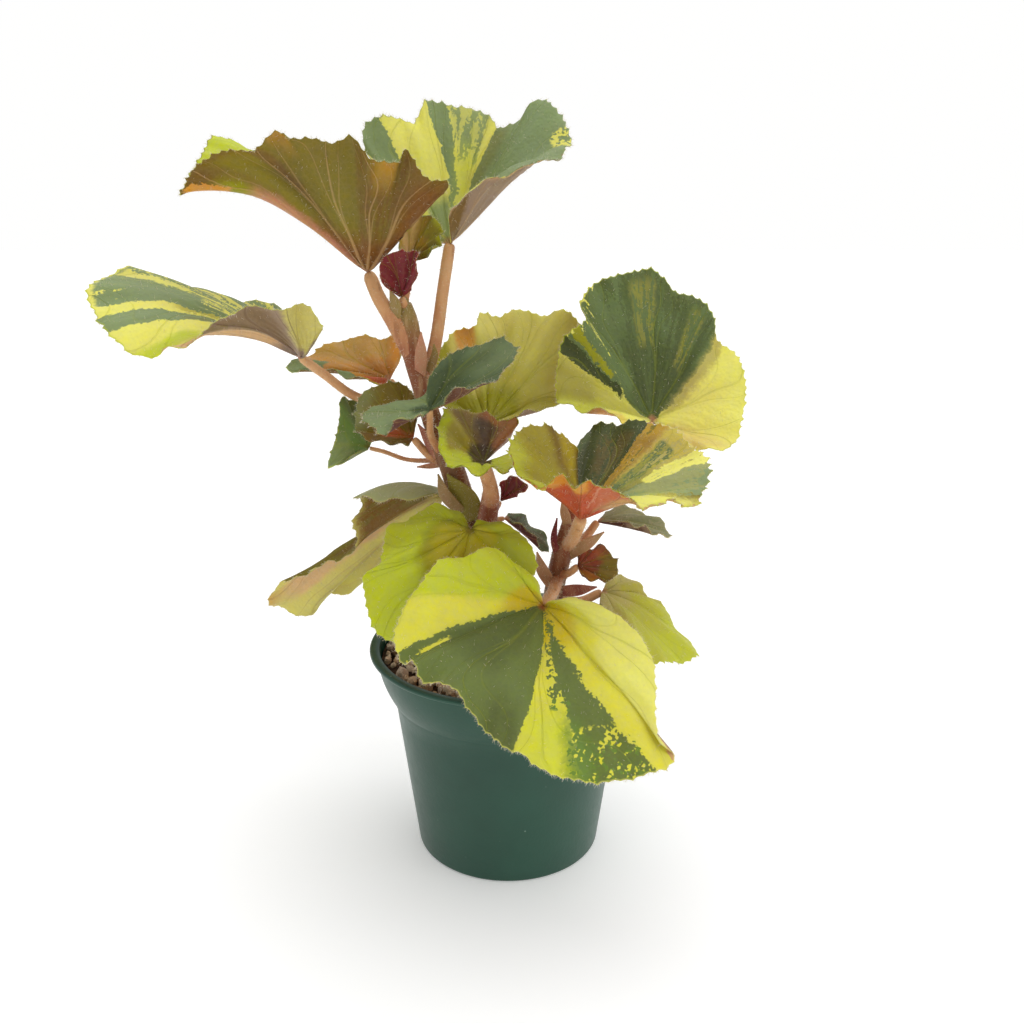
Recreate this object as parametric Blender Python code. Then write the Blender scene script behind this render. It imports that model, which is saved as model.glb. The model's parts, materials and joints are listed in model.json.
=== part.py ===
"""Potted shrub begonia with variegated, hairy, toothed leaves in a round plastic nursery pot.

Lengths are in millimetres until a mesh is made. The middle of the pot's base is the
origin, +X is to the right, +Y is away from the viewer and +Z is up.

Blades and stems are laid out by sight: each point is named by where it is seen in the
photograph (across, down, in pixels) and by how deep it lies (its y in millimetres).
"""
import math

import bpy
import numpy as np
from mathutils import Vector, noise
from mathutils.bvhtree import BVHTree

MM = 0.001
GAP = 0.3

# The viewer: where the eye is, how far it looks down, and the picture's own scale.
EYE = np.array([1.3, -325.4, 216.1])
LOOK_DOWN = math.radians(17.31)
FOCAL_PIXELS = 1080.9
PICTURE_MIDDLE = 512.0

# Pot
POT_HEIGHT = 70.4
LIP_RADIUS = 45.0
LIP_THICK = 1.6
BASE_RADIUS = 30.5
FOOT_ROUND = 1.2
BODY_TOP_RADIUS = 37.0
BODY_TOP_Z = 51.5
BAND_TOP_RADIUS = 42.6
WALL = 1.0
BASE_THICK = 1.6
POT_SIDES = 48
DRAIN_HOLES = 6
DRAIN_RADIUS = 3.2
DRAIN_CIRCLE = 20.0

# Soil
SOIL_TOP = 66.3
LUMP_HEIGHT = 1.9
LUMP_WIDTH = 6.0
SMALL_SHARE = 0.6
SMALL_SCALE = 2.3
SOIL_RINGS = 9

# Canes stand in plain holes in the soil.
LEFT_FOOT = (-9.5, 0.0)
RIGHT_FOOT = (13.5, -1.0)
FOOT_BOTTOM = 50.0
FOOT_RADIUS = 3.6

# Blades
BLADE_THICK = 0.7
BLADE_RINGS = 4
EVEN_OUT = 2
STEPS_PER_POINT = 2
NOTCH = 0.7
BELLY_SHARE = 6.75
QUILT = 0.45
RUFFLE = 0.5

# The way that every blade's upper side roughly faces
SKY = (0.0, -0.4, 1.0)

# A blade: the stalk's joint, then the points that its margin passes, each as (across, down,
# depth, arch). The arch is how far the line from joint to margin bows the way that the
# whole blade faces, and "belly" how far a funnel's wall bows out to its lower side near
# the joint.
# "veins" counts the main veins.
BLADES = {
    "leaf_top_left": dict(joint=(368, 272, 6), veins=8, belly=3.5, margin=[
        (398, 240, 20, 0), (410, 190, 30, 0), (352, 165, 36, 0), (300, 152, 33, 1),
        (250, 147, 28, 3), (214, 134, 22, 6), (198, 157, 14, 8), (178, 194, 4, 9),
        (192, 166, -6, 8), (222, 150, -9, 6.5), (250, 148, -11, 4), (270, 132, -13, 2),
        (293, 135, -14, 1), (330, 138, -14, 0), (354, 137, -14, 0), (376, 158, -13, 0),
        (398, 160, -12, 0), (408, 148, -11, 0), (426, 173, -8, 0), (450, 181, -5, 1),
        (446, 192, -4, 3)]),
    "leaf_top_right": dict(joint=(450, 243, 12), veins=8, belly=1.5, margin=[
        (430, 223, 9, 0), (398, 190, 10, 0), (370, 160, 12, 0), (360, 138, 14, 0),
        (367, 120, 16, 0), (394, 113, 20, 0), (413, 121, 23, 0), (426, 98, 26, 0),
        (452, 104, 28, 0), (488, 111, 29, 0), (500, 127, 28, 0), (518, 119, 27, 0),
        (540, 95, 24, 1), (565, 117, 18, 2), (572, 140, 10, 4), (563, 154, 2, 8),
        (530, 163, -4, 7.5), (495, 179, -6, 4.5), (465, 193, -5, 1), (448, 212, 0, 0)]),
    "leaf_far_left": dict(joint=(300, 357, 16), veins=7, belly=2.2, margin=[
        (313, 344, 13, 0), (323, 323, 8, 0), (300, 303, 2, 0), (272, 309, -3, 1),
        (240, 307, -6, 2), (205, 327, -9, 5), (187, 347, -12, 7), (168, 345, -13, 8),
        (150, 359, -14, 8.5), (108, 334, -12, 8), (93, 312, -4, 8), (86, 287, 4, 7.4),
        (124, 267, 16, 6.6), (165, 285, 24, 5.6), (220, 296, 30, 4), (262, 302, 35, 2),
        (292, 318, 35, 0), (312, 338, 28, 0)]),
    "leaf_orange": dict(joint=(390, 379, 20), veins=5, margin=[
        (401, 360, 27, 0), (401, 340, 30, 0), (384, 336, 32, 0), (362, 335, 34, 0),
        (334, 339, 35, 0), (306, 354, 34, 1), (284, 368, 31, 1), (304, 370, 28, 1),
        (328, 372, 24, 0), (346, 376, 20, 0), (366, 381, 17, 0), (382, 386, 17, 0)]),
    "leaf_small_left": dict(joint=(369, 448, 18), veins=5, margin=[
        (374, 438, 22, 0), (372, 420, 26, 0), (354, 399, 26, 0), (339, 396, 22, 0),
        (338, 425, 14, 0), (326, 468, 8, 0), (345, 460, 8, 0), (361, 452, 12, 0)]),
    "leaf_centre": dict(joint=(430, 410, -10), veins=7, margin=[
        (444, 402, -17, 0), (462, 386, -22, 0), (482, 385, -22, 0),
        (500, 380, -19, 0), (506, 365, -15, 0), (521, 350, -9, 0), (508, 337, -3, 0),
        (475, 342, -1, 0), (446, 355, -4, 0), (430, 375, -6, 0), (424, 394, -7, 0),
        (395, 402, -7, 0), (366, 408, -11, 0), (358, 420, -17, 0), (378, 434, -21, 0),
        (392, 425, -21, 0), (412, 420, -19, 0), (422, 416, -15, 0)]),
    "leaf_centre_back": dict(joint=(413, 438, 2), veins=5, margin=[
        (417, 422, 5, 0), (417, 402, 7, 0), (402, 380, 10, 0), (375, 383, 10, 0),
        (357, 394, 8, 0), (352, 425, 3, 0), (360, 439, -2, 0), (382, 441, -6, 0),
        (400, 445, -6, 0), (408, 447, -3, 0)]),
    "leaf_back": dict(joint=(487, 425, 16), veins=7, margin=[
        (462, 419, 15, 0), (440, 405, 17, 0), (421, 392, 20, 0), (418, 368, 24, 0),
        (443, 342, 28, 0), (456, 327, 30, 0), (474, 325, 32, 0), (481, 310, 34, 0),
        (500, 315, 36, 0), (518, 307, 37, 0), (545, 313, 39, 0), (563, 309, 40, 0),
        (582, 321, 41, 0), (588, 350, 40, 0), (576, 385, 34, 0), (554, 408, 25, 0),
        (538, 407, 21, 0), (522, 416, 18, 0)]),
    "leaf_cup_middle": dict(joint=(483, 463, -16), veins=7, margin=[
        (507, 444, 1, 0), (520, 421, 3, 0), (500, 416, 4, 0), (476, 410, 4, 0),
        (452, 404, 0, 0), (440, 412, -6, 0), (435, 436, -14, 0), (440, 456, -22, 0),
        (458, 469, -29, 0), (478, 476, -31, 0), (490, 470, -29, 0), (507, 471, -24, 0),
        (519, 461, -16, 0), (515, 450, -7, 0)]),
    "leaf_right": dict(joint=(652, 421, 24), veins=8, margin=[
        (640, 424, 15, 0), (614, 418, 10, 0), (595, 407, 8, 0), (573, 409, 10, 0),
        (556, 400, 12, 0), (555, 372, 18, 0), (563, 336, 25, 0), (584, 318, 31, 0),
        (580, 300, 36, 0), (596, 280, 41, 0), (630, 271, 46, 0), (656, 268, 47, 0),
        (675, 290, 46, 0), (696, 295, 44, 0), (714, 311, 41, 0), (719, 339, 36, 0),
        (738, 352, 30, 0), (748, 384, 22, 0), (744, 422, 14, 0), (737, 441, 8, 0),
        (716, 453, 4, 0), (690, 446, 8, 0), (668, 432, 16, 0)]),
    "leaf_cup_right": dict(joint=(581, 519, -34), veins=8, margin=[
        (578, 456, -5, 0), (567, 437, -6, 0), (545, 425, -12, 0), (520, 424, -20, 0),
        (505, 448, -32, 0), (516, 472, -41, 1), (537, 488, -46, 2.5), (560, 475, -50, 1.5),
        (575, 484, -52, 0.5), (590, 479, -53, 0), (612, 491, -53, 0.5), (636, 497, -51, 2),
        (652, 511, -48, 4), (675, 501, -44, 3.5), (698, 505, -38, 3), (714, 470, -26, 2),
        (702, 449, -16, 1), (678, 428, -6, 0), (655, 423, 0, 0), (640, 419, 4, 0),
        (610, 420, 9, 0), (586, 432, 11, 0), (571, 448, 9, 0)]),
    "leaf_thin_right": dict(joint=(598, 521, 6), veins=5, margin=[
        (606, 512, 14, 0), (622, 506, 16, 0), (645, 512, 16, 1), (663, 521, 12, 1),
        (674, 538, 5, 1), (660, 534, 0, 0), (645, 528, -2, 0), (628, 523, -2, 0),
        (612, 521, 0, 0)]),
    "leaf_red_brown": dict(joint=(578, 566, -12), veins=5, margin=[
        (578, 556, -6, 0), (588, 547, -3, 0), (602, 545, -3, 0), (613, 552, -5, 0),
        (619, 563, -8, 0), (620, 574, -12, 0), (611, 581, -16, 0), (597, 582, -18, 0),
        (583, 577, -17, 0)]),
    "leaf_low_right": dict(joint=(602, 592, 8), veins=6, margin=[
        (606, 580, 16, 1), (620, 573, 20, 2), (641, 586, 20, 2), (647, 598, 19, 2),
        (661, 602, 17, 2), (677, 628, 12, 3), (699, 656, 5, 3), (675, 664, -8, 3),
        (650, 664, -18, 3), (628, 642, -19, 2), (606, 624, -13, 1), (599, 606, -4, 0)]),
    "leaf_front": dict(joint=(543, 606, -34), veins=8, margin=[
        (541, 592, -32, 1), (534, 577, -31, 2), (516, 563, -31, 2), (498, 549, -31, 2),
        (482, 546, -32, 2), (462, 556, -34, 2), (438, 559, -37, 2), (421, 580, -42, 2),
        (402, 607, -47, 3), (391, 641, -52, 3), (401, 664, -56, 3), (411, 662, -58, 3),
        (424, 685, -62, 3), (451, 689, -65, 3), (478, 722, -72, 3), (505, 752, -77, 3),
        (526, 757, -78, 3), (545, 773, -80, 3), (598, 783, -83, 4), (655, 777, -83, 5),
        (675, 758, -80, 5), (662, 742, -78, 4), (657, 700, -70, 3), (655, 664, -62, 3),
        (638, 634, -55, 3), (606, 606, -46, 2), (575, 597, -41, 2), (556, 600, -37, 1)]),
    "leaf_front_left": dict(joint=(470, 530, -22), veins=8, margin=[
        (464, 520, -18, 1), (450, 509, -16, 1), (428, 505, -14, 2), (404, 520, -16, 2),
        (384, 529, -20, 2), (379, 562, -26, 3), (361, 577, -28, 3), (363, 596, -32, 3),
        (372, 630, -38, 3), (392, 644, -38, 3), (420, 640, -36, 3), (450, 620, -32, 2),
        (480, 600, -28, 2), (520, 590, -25, 2), (538, 572, -23, 2), (534, 549, -22, 2),
        (520, 532, -21, 2), (498, 521, -20, 1), (478, 522, -19, 1)]),
    "leaf_low_left": dict(joint=(444, 492, 8), veins=7, margin=[
        (440, 496, -1, 0), (422, 498, -8, 2), (396, 498, -9, 3.5), (371, 498, -5, 4),
        (353, 498, 3, 4), (360, 506, 9, 3), (350, 522, 11, 2), (354, 547, 13, 2),
        (320, 569, 21, 1.5), (284, 583, 27, 1.5), (267, 600, 32, 2), (287, 614, 36, 2),
        (312, 614, 38, 1), (326, 594, 38, 1), (344, 595, 38, 0.5), (358, 584, 37, 0),
        (395, 560, 34, 0), (432, 522, 26, 0)]),
    "leaf_young_crimson": dict(joint=(402, 297, 3), veins=3, margin=[
        (393, 292, -1, 0), (376, 271, -5, 0), (386, 254, -5, 0), (398, 248, -4, 0),
        (412, 249, -4, 0), (420, 253, -6, 0), (417, 272, -6, 0), (411, 290, -1, 0)]),
    "leaf_young_lime": dict(joint=(409, 262, 4), veins=5, margin=[
        (398, 248, 7, 0), (402, 228, 7, 0), (418, 215, 7, 0), (432, 214, 6, 0),
        (442, 222, 3, 0), (444, 236, -1, 0), (437, 246, -3, 0), (428, 256, -3, 0)]),
    "leaf_young_purple": dict(joint=(501, 501, -7), veins=3, margin=[
        (502, 494, -4, 0), (505, 478, -3, 0), (516, 475, -5, 0), (531, 488, -9, 0),
        (517, 495, -10, 0)]),
    "leaf_curled": dict(joint=(505, 518, -3), veins=3, margin=[
        (511, 512, 1, 0), (524, 516, 6, 0), (538, 528, 8, 0), (548, 541, 7, 0),
        (550, 552, 3, 0), (540, 545, -1, 0), (529, 532, -4, 0), (515, 523, -5, 0)]),
}

YOUNG_BLADES = ("leaf_young_crimson", "leaf_young_purple", "leaf_red_brown")

# Stems: points as (across, down, depth, radius). The first row of each cane rises from
# its foot in the soil, and the others spring from inside it.
CANE_LEFT = [
    [(474, 560, 0, 3.8), (468, 520, 0, 4.0), (452, 468, 0, 3.8), (436, 430, 1, 3.3),
     (424, 395, 2, 2.9), (414, 360, 4, 3.1), (407, 325, 6, 3.7), (402, 304, 6, 2.9)],
]
CANE_RIGHT = [
    [(552, 605, -2, 3.2), (557, 575, -3, 3.2), (563, 550, -5, 3.2), (570, 525, -7, 2.8),
     (570, 508, -7, 1.6)],
]
LEFT_SHOOTS = [
    [(476, 600, -1, 2.6), (482, 550, -5, 3.0), (488, 515, -7, 3.1), (491, 492, -9, 2.6)],
]
# Stalks: points up to the blade that each one carries.
LEFT_STALKS = {
    "leaf_top_left": [(416, 368, 4, 2.2), (395, 325, 3, 2.4), (379, 298, 4, 2.2)],
    "leaf_top_right": [(423, 385, 3, 2.1), (435, 345, 6, 2.0), (443, 290, 10, 1.9)],
    "leaf_far_left": [(431, 422, 3, 1.8), (425, 412, 13, 1.6), (405, 408, 19, 1.5),
                      (357, 397, 21, 1.5), (325, 375, 18, 1.5)],
    "leaf_orange": [(424, 396, 4, 1.2), (412, 396, 14, 1.1), (400, 392, 19, 1.0)],
    "leaf_small_left": [(448, 460, 2, 1.0), (410, 460, 12, 0.8), (385, 452, 17, 0.8)],
    "leaf_centre": [(440, 452, -1, 1.3), (431, 436, -5, 1.2), (430, 420, -7, 1.1)],
    "leaf_centre_back": [(446, 464, 0, 1.3), (430, 456, 1, 1.3)],
    "leaf_back": [(446, 455, 2, 1.5), (468, 452, 12, 1.3), (482, 440, 17, 1.2)],
    "leaf_front_left": [(472, 545, 0, 1.8), (471, 545, -10, 1.6), (470, 538, -18, 1.4)],
    "leaf_low_left": [(464, 508, 2, 1.6), (453, 500, 6, 1.4)],
    "leaf_young_crimson": [(402, 314, 6, 1.6), (403, 305, 4, 1.4)],
    "leaf_young_lime": [(404, 308, 7, 1.2), (408, 285, 10, 1.0)],
    "leaf_cup_middle": [(491, 500, -9, 2.8), (490, 486, -11, 2.3)],
    "leaf_young_purple": [(487, 519, -6, 1.0), (495, 510, -7, 0.9)],
    "leaf_curled": [(483, 532, -5, 1.1), (494, 521, -5, 0.9)],
}
RIGHT_STALKS = {
    "leaf_front": [(557, 580, -3, 2.2), (553, 592, -18, 1.9)],
    "leaf_cup_right": [(568, 545, -6, 2.2), (573, 538, -20, 2.0)],
    "leaf_thin_right": [(566, 548, -4, 1.6), (585, 537, 3, 1.4)],
    "leaf_right": [(572, 525, -6, 1.6), (600, 490, 12, 1.5), (640, 446, 23, 1.4)],
    "leaf_red_brown": [(560, 576, -4, 1.3), (569, 573, -9, 1.2)],
    "leaf_low_right": [(555, 600, -2, 1.8), (580, 601, 5, 1.5)],
}
# Stipules: base, middle and tip as (across, down, depth), then half the width.
LEFT_STIPULES = [
    ((420, 380, 2), (421, 355, -2), (421, 332, -3), 1.9),
    ((425, 378, 3), (434, 358, 1), (434, 344, 1), 1.2),
    ((444, 464, 0), (430, 466, 2), (417, 467, 3), 1.0),
    ((442, 462, -1), (431, 443, -1), (418, 424, -1), 2.2),
    ((474, 520, -6), (463, 498, -6), (447, 474, -5), 4.6),
    ((466, 516, -5), (446, 496, -6), (438, 474, -5), 2.2),
    ((396, 318, 2), (395, 304, 1), (390, 290, 1), 1.8),
]
RIGHT_STIPULES = [
    ((560, 564, -4), (554, 540, -9), (557, 518, -9), 1.1),
    ((554, 590, -4), (543, 571, -8), (537, 552, -9), 2.1),
    ((566, 558, -5), (587, 544, -12), (604, 532, -14), 1.9),
    ((570, 534, -7), (565, 514, -11), (562, 501, -12), 1.5),
    ((556, 592, -3), (577, 590, -6), (597, 587, -8), 2.3),
]

TUBE_SIDES = 7
TUBE_STEPS = 2
SEAT_STEP = 0.05
STIPULE_THICK = 0.9


def clear_scene():
    for thing in list(bpy.data.objects):
        bpy.data.objects.remove(thing, do_unlink=True)


def material(name, colour, roughness):
    mat = bpy.data.materials.new(name)
    mat.use_nodes = True
    shader = mat.node_tree.nodes["Principled BSDF"]
    shader.inputs["Base Color"].default_value = (*colour, 1.0)
    shader.inputs["Roughness"].default_value = roughness
    shader.inputs["Metallic"].default_value = 0.0
    return mat


def add_solid(name, points, faces, mat=None):
    """An object from points in millimetres, smooth shaded."""
    mesh = bpy.data.meshes.new(name)
    mesh.from_pydata([tuple(p * MM) for p in points], [], faces)
    mesh.validate()
    for polygon in mesh.polygons:
        polygon.use_smooth = True
    thing = bpy.data.objects.new(name, mesh)
    bpy.context.scene.collection.objects.link(thing)
    if mat:
        mesh.materials.append(mat)
    return thing


def seen(across, down, depth):
    """The point at this depth that is seen at a place in the photograph."""
    right = (across - PICTURE_MIDDLE) / FOCAL_PIXELS
    up = (PICTURE_MIDDLE - down) / FOCAL_PIXELS
    reach = (depth - EYE[1]) / (math.cos(LOOK_DOWN) + up * math.sin(LOOK_DOWN))
    height = EYE[2] + reach * (up * math.cos(LOOK_DOWN) - math.sin(LOOK_DOWN))
    return np.array([EYE[0] + reach * right, depth, height])


def smooth_row(rows, steps):
    """A Catmull-Rom curve through the rows, with so many steps between two of them."""
    rows = np.asarray(rows, float)
    last = len(rows) - 1
    ends = np.vstack([2 * rows[0] - rows[1], rows, 2 * rows[-1] - rows[-2]])
    place = np.linspace(0, last, last * steps + 1)
    first = np.minimum(place.astype(int), last - 1)
    f = (place - first)[:, None]
    a, b, c, d = (ends[first + k] for k in range(4))
    return 0.5 * (2 * b + (c - a) * f + (2 * a - 5 * b + 4 * c - d) * f**2
                  + (3 * b - a - 3 * c + d) * f**3)


def unit(v):
    return v / np.maximum(np.linalg.norm(v, axis=-1, keepdims=True), 1e-9)


def averaged(rows, width):
    """The rows, each one averaged with its neighbours, and the two ends kept."""
    width = min(width, (len(rows) - 1) // 2)
    kernel = np.hanning(2 * width + 3)[1:-1]
    kernel /= kernel.sum()
    before = 2 * rows[0] - rows[width:0:-1]
    after = 2 * rows[-1] - rows[-2:-width - 2:-1]
    padded = np.vstack([before, rows, after])
    return np.stack([np.convolve(column, kernel, "valid") for column in padded.T], 1)


def blade_middle(spec):
    """The blade's middle surface as rings of points, and which way its upper side faces."""
    joint = seen(*spec["joint"])
    rows = [np.append(seen(*point[:3]), point[3]) for point in spec["margin"]]
    row = smooth_row(rows, STEPS_PER_POINT)
    sky = np.array(SKY)
    if np.cross(row[:-1, :3] - joint, row[1:, :3] - joint).sum(0) @ sky < 0:
        row = row[::-1]
    calm = averaged(row, EVEN_OUT * STEPS_PER_POINT)
    broad, arch = calm[:, :3], calm[:, 3:]
    facing = unit(averaged(unit(np.cross(broad - joint, np.gradient(broad, axis=0))),
                           STEPS_PER_POINT))
    upward = unit(facing.mean(0))
    detail = row[:, :3] - broad
    inward = unit(joint - broad)
    notched = np.where(np.arange(len(row)) % STEPS_PER_POINT == 0, 0.0, NOTCH)[:, None]
    turn = np.pi * spec["veins"] * np.linspace(0, 1, len(row))[:, None]
    rings = []
    for k in range(1, BLADE_RINGS + 1):
        out = k / BLADE_RINGS
        bow = 4 * out * (1 - out)
        wrinkle = RUFFLE * out**3 * np.sin(3.3 * turn) - QUILT * out * np.cos(2 * turn)
        ring = joint + (broad - joint) * out + detail * out**3 + wrinkle * facing
        deep = BELLY_SHARE * out * (1 - out)**2
        ring = ring + bow * arch * upward - deep * spec.get("belly", 0.0) * facing
        if k == BLADE_RINGS:
            ring = ring + inward * notched
        rings.append(ring)
    return joint, np.array(rings), facing


def surface_normals(joint, rings, facing):
    """Normals of the ringed surface, on the upper side."""
    whole = np.concatenate([np.broadcast_to(joint, rings[:1].shape), rings])
    along = np.gradient(whole, axis=0)[1:]
    round_it = np.gradient(rings, axis=1)
    normal = unit(np.cross(along, round_it))
    flip = np.sign((normal * facing).sum(-1, keepdims=True))
    return unit(normal * np.where(flip == 0, 1, flip))


def add_blade(name, spec, mat):
    """A closed blade: both faces are split into triangles alike, a half thickness apart."""
    joint, rings, facing = blade_middle(spec)
    normals = surface_normals(joint, rings, facing)
    count, around = rings.shape[:2]
    top_joint = joint + unit(facing.mean(0)) * BLADE_THICK / 2
    low_joint = joint - unit(facing.mean(0)) * BLADE_THICK / 2
    top = (rings + normals * BLADE_THICK / 2).reshape(-1, 3)
    low = (rings - normals * BLADE_THICK / 2).reshape(-1, 3)
    points = np.vstack([top_joint, low_joint, top, low])
    size = count * around

    def upper(ring, step):
        return 2 + ring * around + step

    def lower(ring, step):
        return upper(ring, step) + size

    faces = []
    for s in range(around - 1):
        faces += [(0, upper(0, s), upper(0, s + 1)), (1, lower(0, s + 1), lower(0, s))]
        for r in range(count - 1):
            a, b = upper(r, s), upper(r + 1, s)
            c, d = upper(r + 1, s + 1), upper(r, s + 1)
            faces += [(a, b, c), (a, c, d)]
            faces += [(c + size, b + size, a + size), (d + size, c + size, a + size)]
        a, b = upper(count - 1, s), upper(count - 1, s + 1)
        faces += [(a, a + size, b + size), (a, b + size, b)]
    for s, turn in ((0, 1), (around - 1, -1)):
        first = [(0, 1, lower(0, s), upper(0, s))]
        first += [(upper(r, s), lower(r, s), lower(r + 1, s), upper(r + 1, s))
                  for r in range(count - 1)]
        for a, b, c, d in first:
            faces += [(a, b, c)[::turn], (a, c, d)[::turn]]
    return add_solid(name, points, faces, mat)


def blade_underside(name):
    """The joint of a blade and the way out of its lower side there."""
    joint, rings, facing = blade_middle(BLADES[name])
    return joint, -unit(facing.mean(0))


def tube_points(row, thickness=None, steps=TUBE_STEPS):
    """Rings of points along rows of (x, y, z, radius), round or of a given thickness."""
    path = smooth_row(row, steps)
    line, radius = path[:, :3], np.maximum(path[:, 3], 0.25)
    ahead = unit(np.gradient(line, axis=0))
    side = unit(np.cross(ahead[0], (0.2, 1.0, 0.3)))
    rings = []
    for place, way, wide in zip(line, ahead, radius):
        side = unit(side - way * (side @ way))
        other = np.cross(way, side)
        high = wide if thickness is None else thickness / 2
        for k in range(TUBE_SIDES):
            turn = 2 * math.pi * k / TUBE_SIDES
            rings.append(place + side * wide * math.cos(turn) + other * high * math.sin(turn))
    return np.array(rings)


def tube_faces(points):
    last = len(points) - TUBE_SIDES
    faces = [tuple(range(TUBE_SIDES - 1, -1, -1)), tuple(range(last, last + TUBE_SIDES))]
    for ring in range(last // TUBE_SIDES):
        for k in range(TUBE_SIDES):
            a = ring * TUBE_SIDES + k
            b = ring * TUBE_SIDES + (k + 1) % TUBE_SIDES
            faces.append((a, b, b + TUBE_SIDES, a + TUBE_SIDES))
    return faces


def add_tube(name, row, thickness=None, steps=TUBE_STEPS):
    """A closed tube along rows of (x, y, z, radius), or a flat one of a given thickness."""
    points = tube_points(row, thickness, steps)
    return add_solid(name, points, tube_faces(points))


def sight_row(points):
    return [np.append(seen(*point[:3]), point[3]) for point in points]


def apart(some, some_faces, others, other_faces):
    """Whether two surfaces are clear of each other by the gap."""
    one = BVHTree.FromPolygons(some, some_faces)
    other = BVHTree.FromPolygons(others, other_faces)
    if one.overlap(other):
        return False
    nearest = min(one.find_nearest(point)[3] for point in others)
    return min(nearest, min(other.find_nearest(point)[3] for point in some)) > GAP


def stalk_row(points, name, blade):
    """A stalk's row, whose end is lowered until it just clears the blade that it carries."""
    joint, down = blade_underside(name)
    row = sight_row(points)
    corners = [vertex.co / MM for vertex in blade.data.vertices]
    faces = [tuple(face.vertices) for face in blade.data.polygons]
    drop = BLADE_THICK / 2 + GAP
    while True:
        whole = row + [np.append(joint + down * drop, points[-1][3] * 0.85)]
        tube = [Vector(point) for point in tube_points(whole)]
        if apart(tube, tube_faces(tube), corners, faces):
            return whole
        drop += SEAT_STEP


def stipule_row(base, middle, tip, half_width):
    widths = (0.8 * half_width, half_width, 0.35)
    return [np.append(seen(*point), wide) for point, wide in zip((base, middle, tip), widths)]


def joined(name, pieces, mat, solver="EXACT"):
    """One body from overlapping pieces."""
    first, others = pieces[0], pieces[1:]
    group = bpy.data.collections.new(name + "_pieces")
    for piece in others:
        group.objects.link(piece)
    union = first.modifiers.new("union", "BOOLEAN")
    union.operation = "UNION"
    union.solver = solver
    union.operand_type = "COLLECTION"
    union.collection = group
    mesh = bpy.data.meshes.new_from_object(
        first.evaluated_get(bpy.context.evaluated_depsgraph_get()))
    first.modifiers.clear()
    first.data = mesh
    first.name = name
    mesh.name = name
    for piece in others:
        bpy.data.objects.remove(piece, do_unlink=True)
    bpy.data.collections.remove(group)
    mesh.materials.clear()
    mesh.materials.append(mat)
    return first


def foot_row(foot):
    x, y = foot
    return [np.array([x, y, FOOT_BOTTOM, FOOT_RADIUS]),
            np.array([x, y, SOIL_TOP + 4.0, FOOT_RADIUS])]


def add_cane(name, foot, cane, shoots, stalks, stipules, blades, mat):
    """A cane with its shoots, its leaf stalks and its stipules, grown as one piece."""
    pieces = [add_tube(name + "_stem", foot_row(foot) + sight_row(cane[0]), steps=3)]
    for row in shoots:
        pieces.append(add_tube(name + "_shoot", sight_row(row)))
    for blade, points in stalks.items():
        pieces.append(add_tube(name + "_stalk", stalk_row(points, blade, blades[blade])))
    for stipule in stipules:
        pieces.append(add_tube(name + "_stipule", stipule_row(*stipule), STIPULE_THICK))
    return joined(name, pieces, mat)


def add_turned(name, profile, sides, mat):
    """A closed body turned about Z from (radius, z) rows that start and end on the axis."""
    points = [np.array([0.0, 0.0, profile[0][1]])]
    inner = profile[1:-1]
    for radius, z in inner:
        for k in range(sides):
            turn = 2 * math.pi * k / sides
            points.append(np.array([radius * math.cos(turn), radius * math.sin(turn), z]))
    points.append(np.array([0.0, 0.0, profile[-1][1]]))
    last = len(points) - 1
    faces = []
    for k in range(sides):
        after = (k + 1) % sides
        faces.append((0, 1 + after, 1 + k))
        for row in range(len(inner) - 1):
            a, b = 1 + row * sides + k, 1 + row * sides + after
            faces.append((a, b, b + sides, a + sides))
        top = 1 + (len(inner) - 1) * sides
        faces.append((last, top + k, top + after))
    return add_solid(name, points, faces, mat)


def pot_outside():
    """The outer profile, from the base to the lip."""
    shoulder_rise = POT_HEIGHT - LIP_THICK - BODY_TOP_Z
    shoulder = []
    for k in range(1, 6):
        part = k / 5
        swell = math.sin(part * math.pi / 2) ** 0.8
        radius = BODY_TOP_RADIUS + (BAND_TOP_RADIUS - BODY_TOP_RADIUS) * swell
        shoulder.append((radius, BODY_TOP_Z + 1.0 + (shoulder_rise - 1.0) * part))
    return [(BASE_RADIUS - FOOT_ROUND, 0.0), (BASE_RADIUS - 0.6, 0.6), (BASE_RADIUS, FOOT_ROUND),
            (BODY_TOP_RADIUS, BODY_TOP_Z), (BODY_TOP_RADIUS + 0.5, BODY_TOP_Z + 0.8), *shoulder]


def add_pot(mat):
    outside = pot_outside()
    lip_low = POT_HEIGHT - LIP_THICK
    lip = [(LIP_RADIUS - 0.3, lip_low), (LIP_RADIUS, lip_low + 0.5),
           (LIP_RADIUS - 0.3, POT_HEIGHT), (BAND_TOP_RADIUS, POT_HEIGHT)]
    inside = [(radius - WALL, z) for radius, z in reversed(outside[3:])]
    floor = [(BASE_RADIUS - WALL + 0.2, BASE_THICK)]
    profile = [(0.0, 0.0), *outside, *lip, *inside, *floor, (0.0, BASE_THICK)]
    pot = add_turned("pot", profile, POT_SIDES, mat)
    holes = []
    for k in range(DRAIN_HOLES):
        turn = 2 * math.pi * (k + 0.5) / DRAIN_HOLES
        x, y = DRAIN_CIRCLE * math.cos(turn), DRAIN_CIRCLE * math.sin(turn)
        row = [np.array([x, y, -2.0, DRAIN_RADIUS]), np.array([x, y, 4.0, DRAIN_RADIUS])]
        holes.append(add_tube("hole", row, steps=1))
    cut_away(pot, holes)
    return pot


def cut_away(body, cutters):
    """Takes the cutters out of the body."""
    for cutter in cutters:
        cut = body.modifiers.new("cut", "BOOLEAN")
        cut.operation = "DIFFERENCE"
        cut.solver = "EXACT"
        cut.object = cutter
    mesh = bpy.data.meshes.new_from_object(
        body.evaluated_get(bpy.context.evaluated_depsgraph_get()))
    body.modifiers.clear()
    body.data = mesh
    for cutter in cutters:
        bpy.data.objects.remove(cutter, do_unlink=True)


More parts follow.
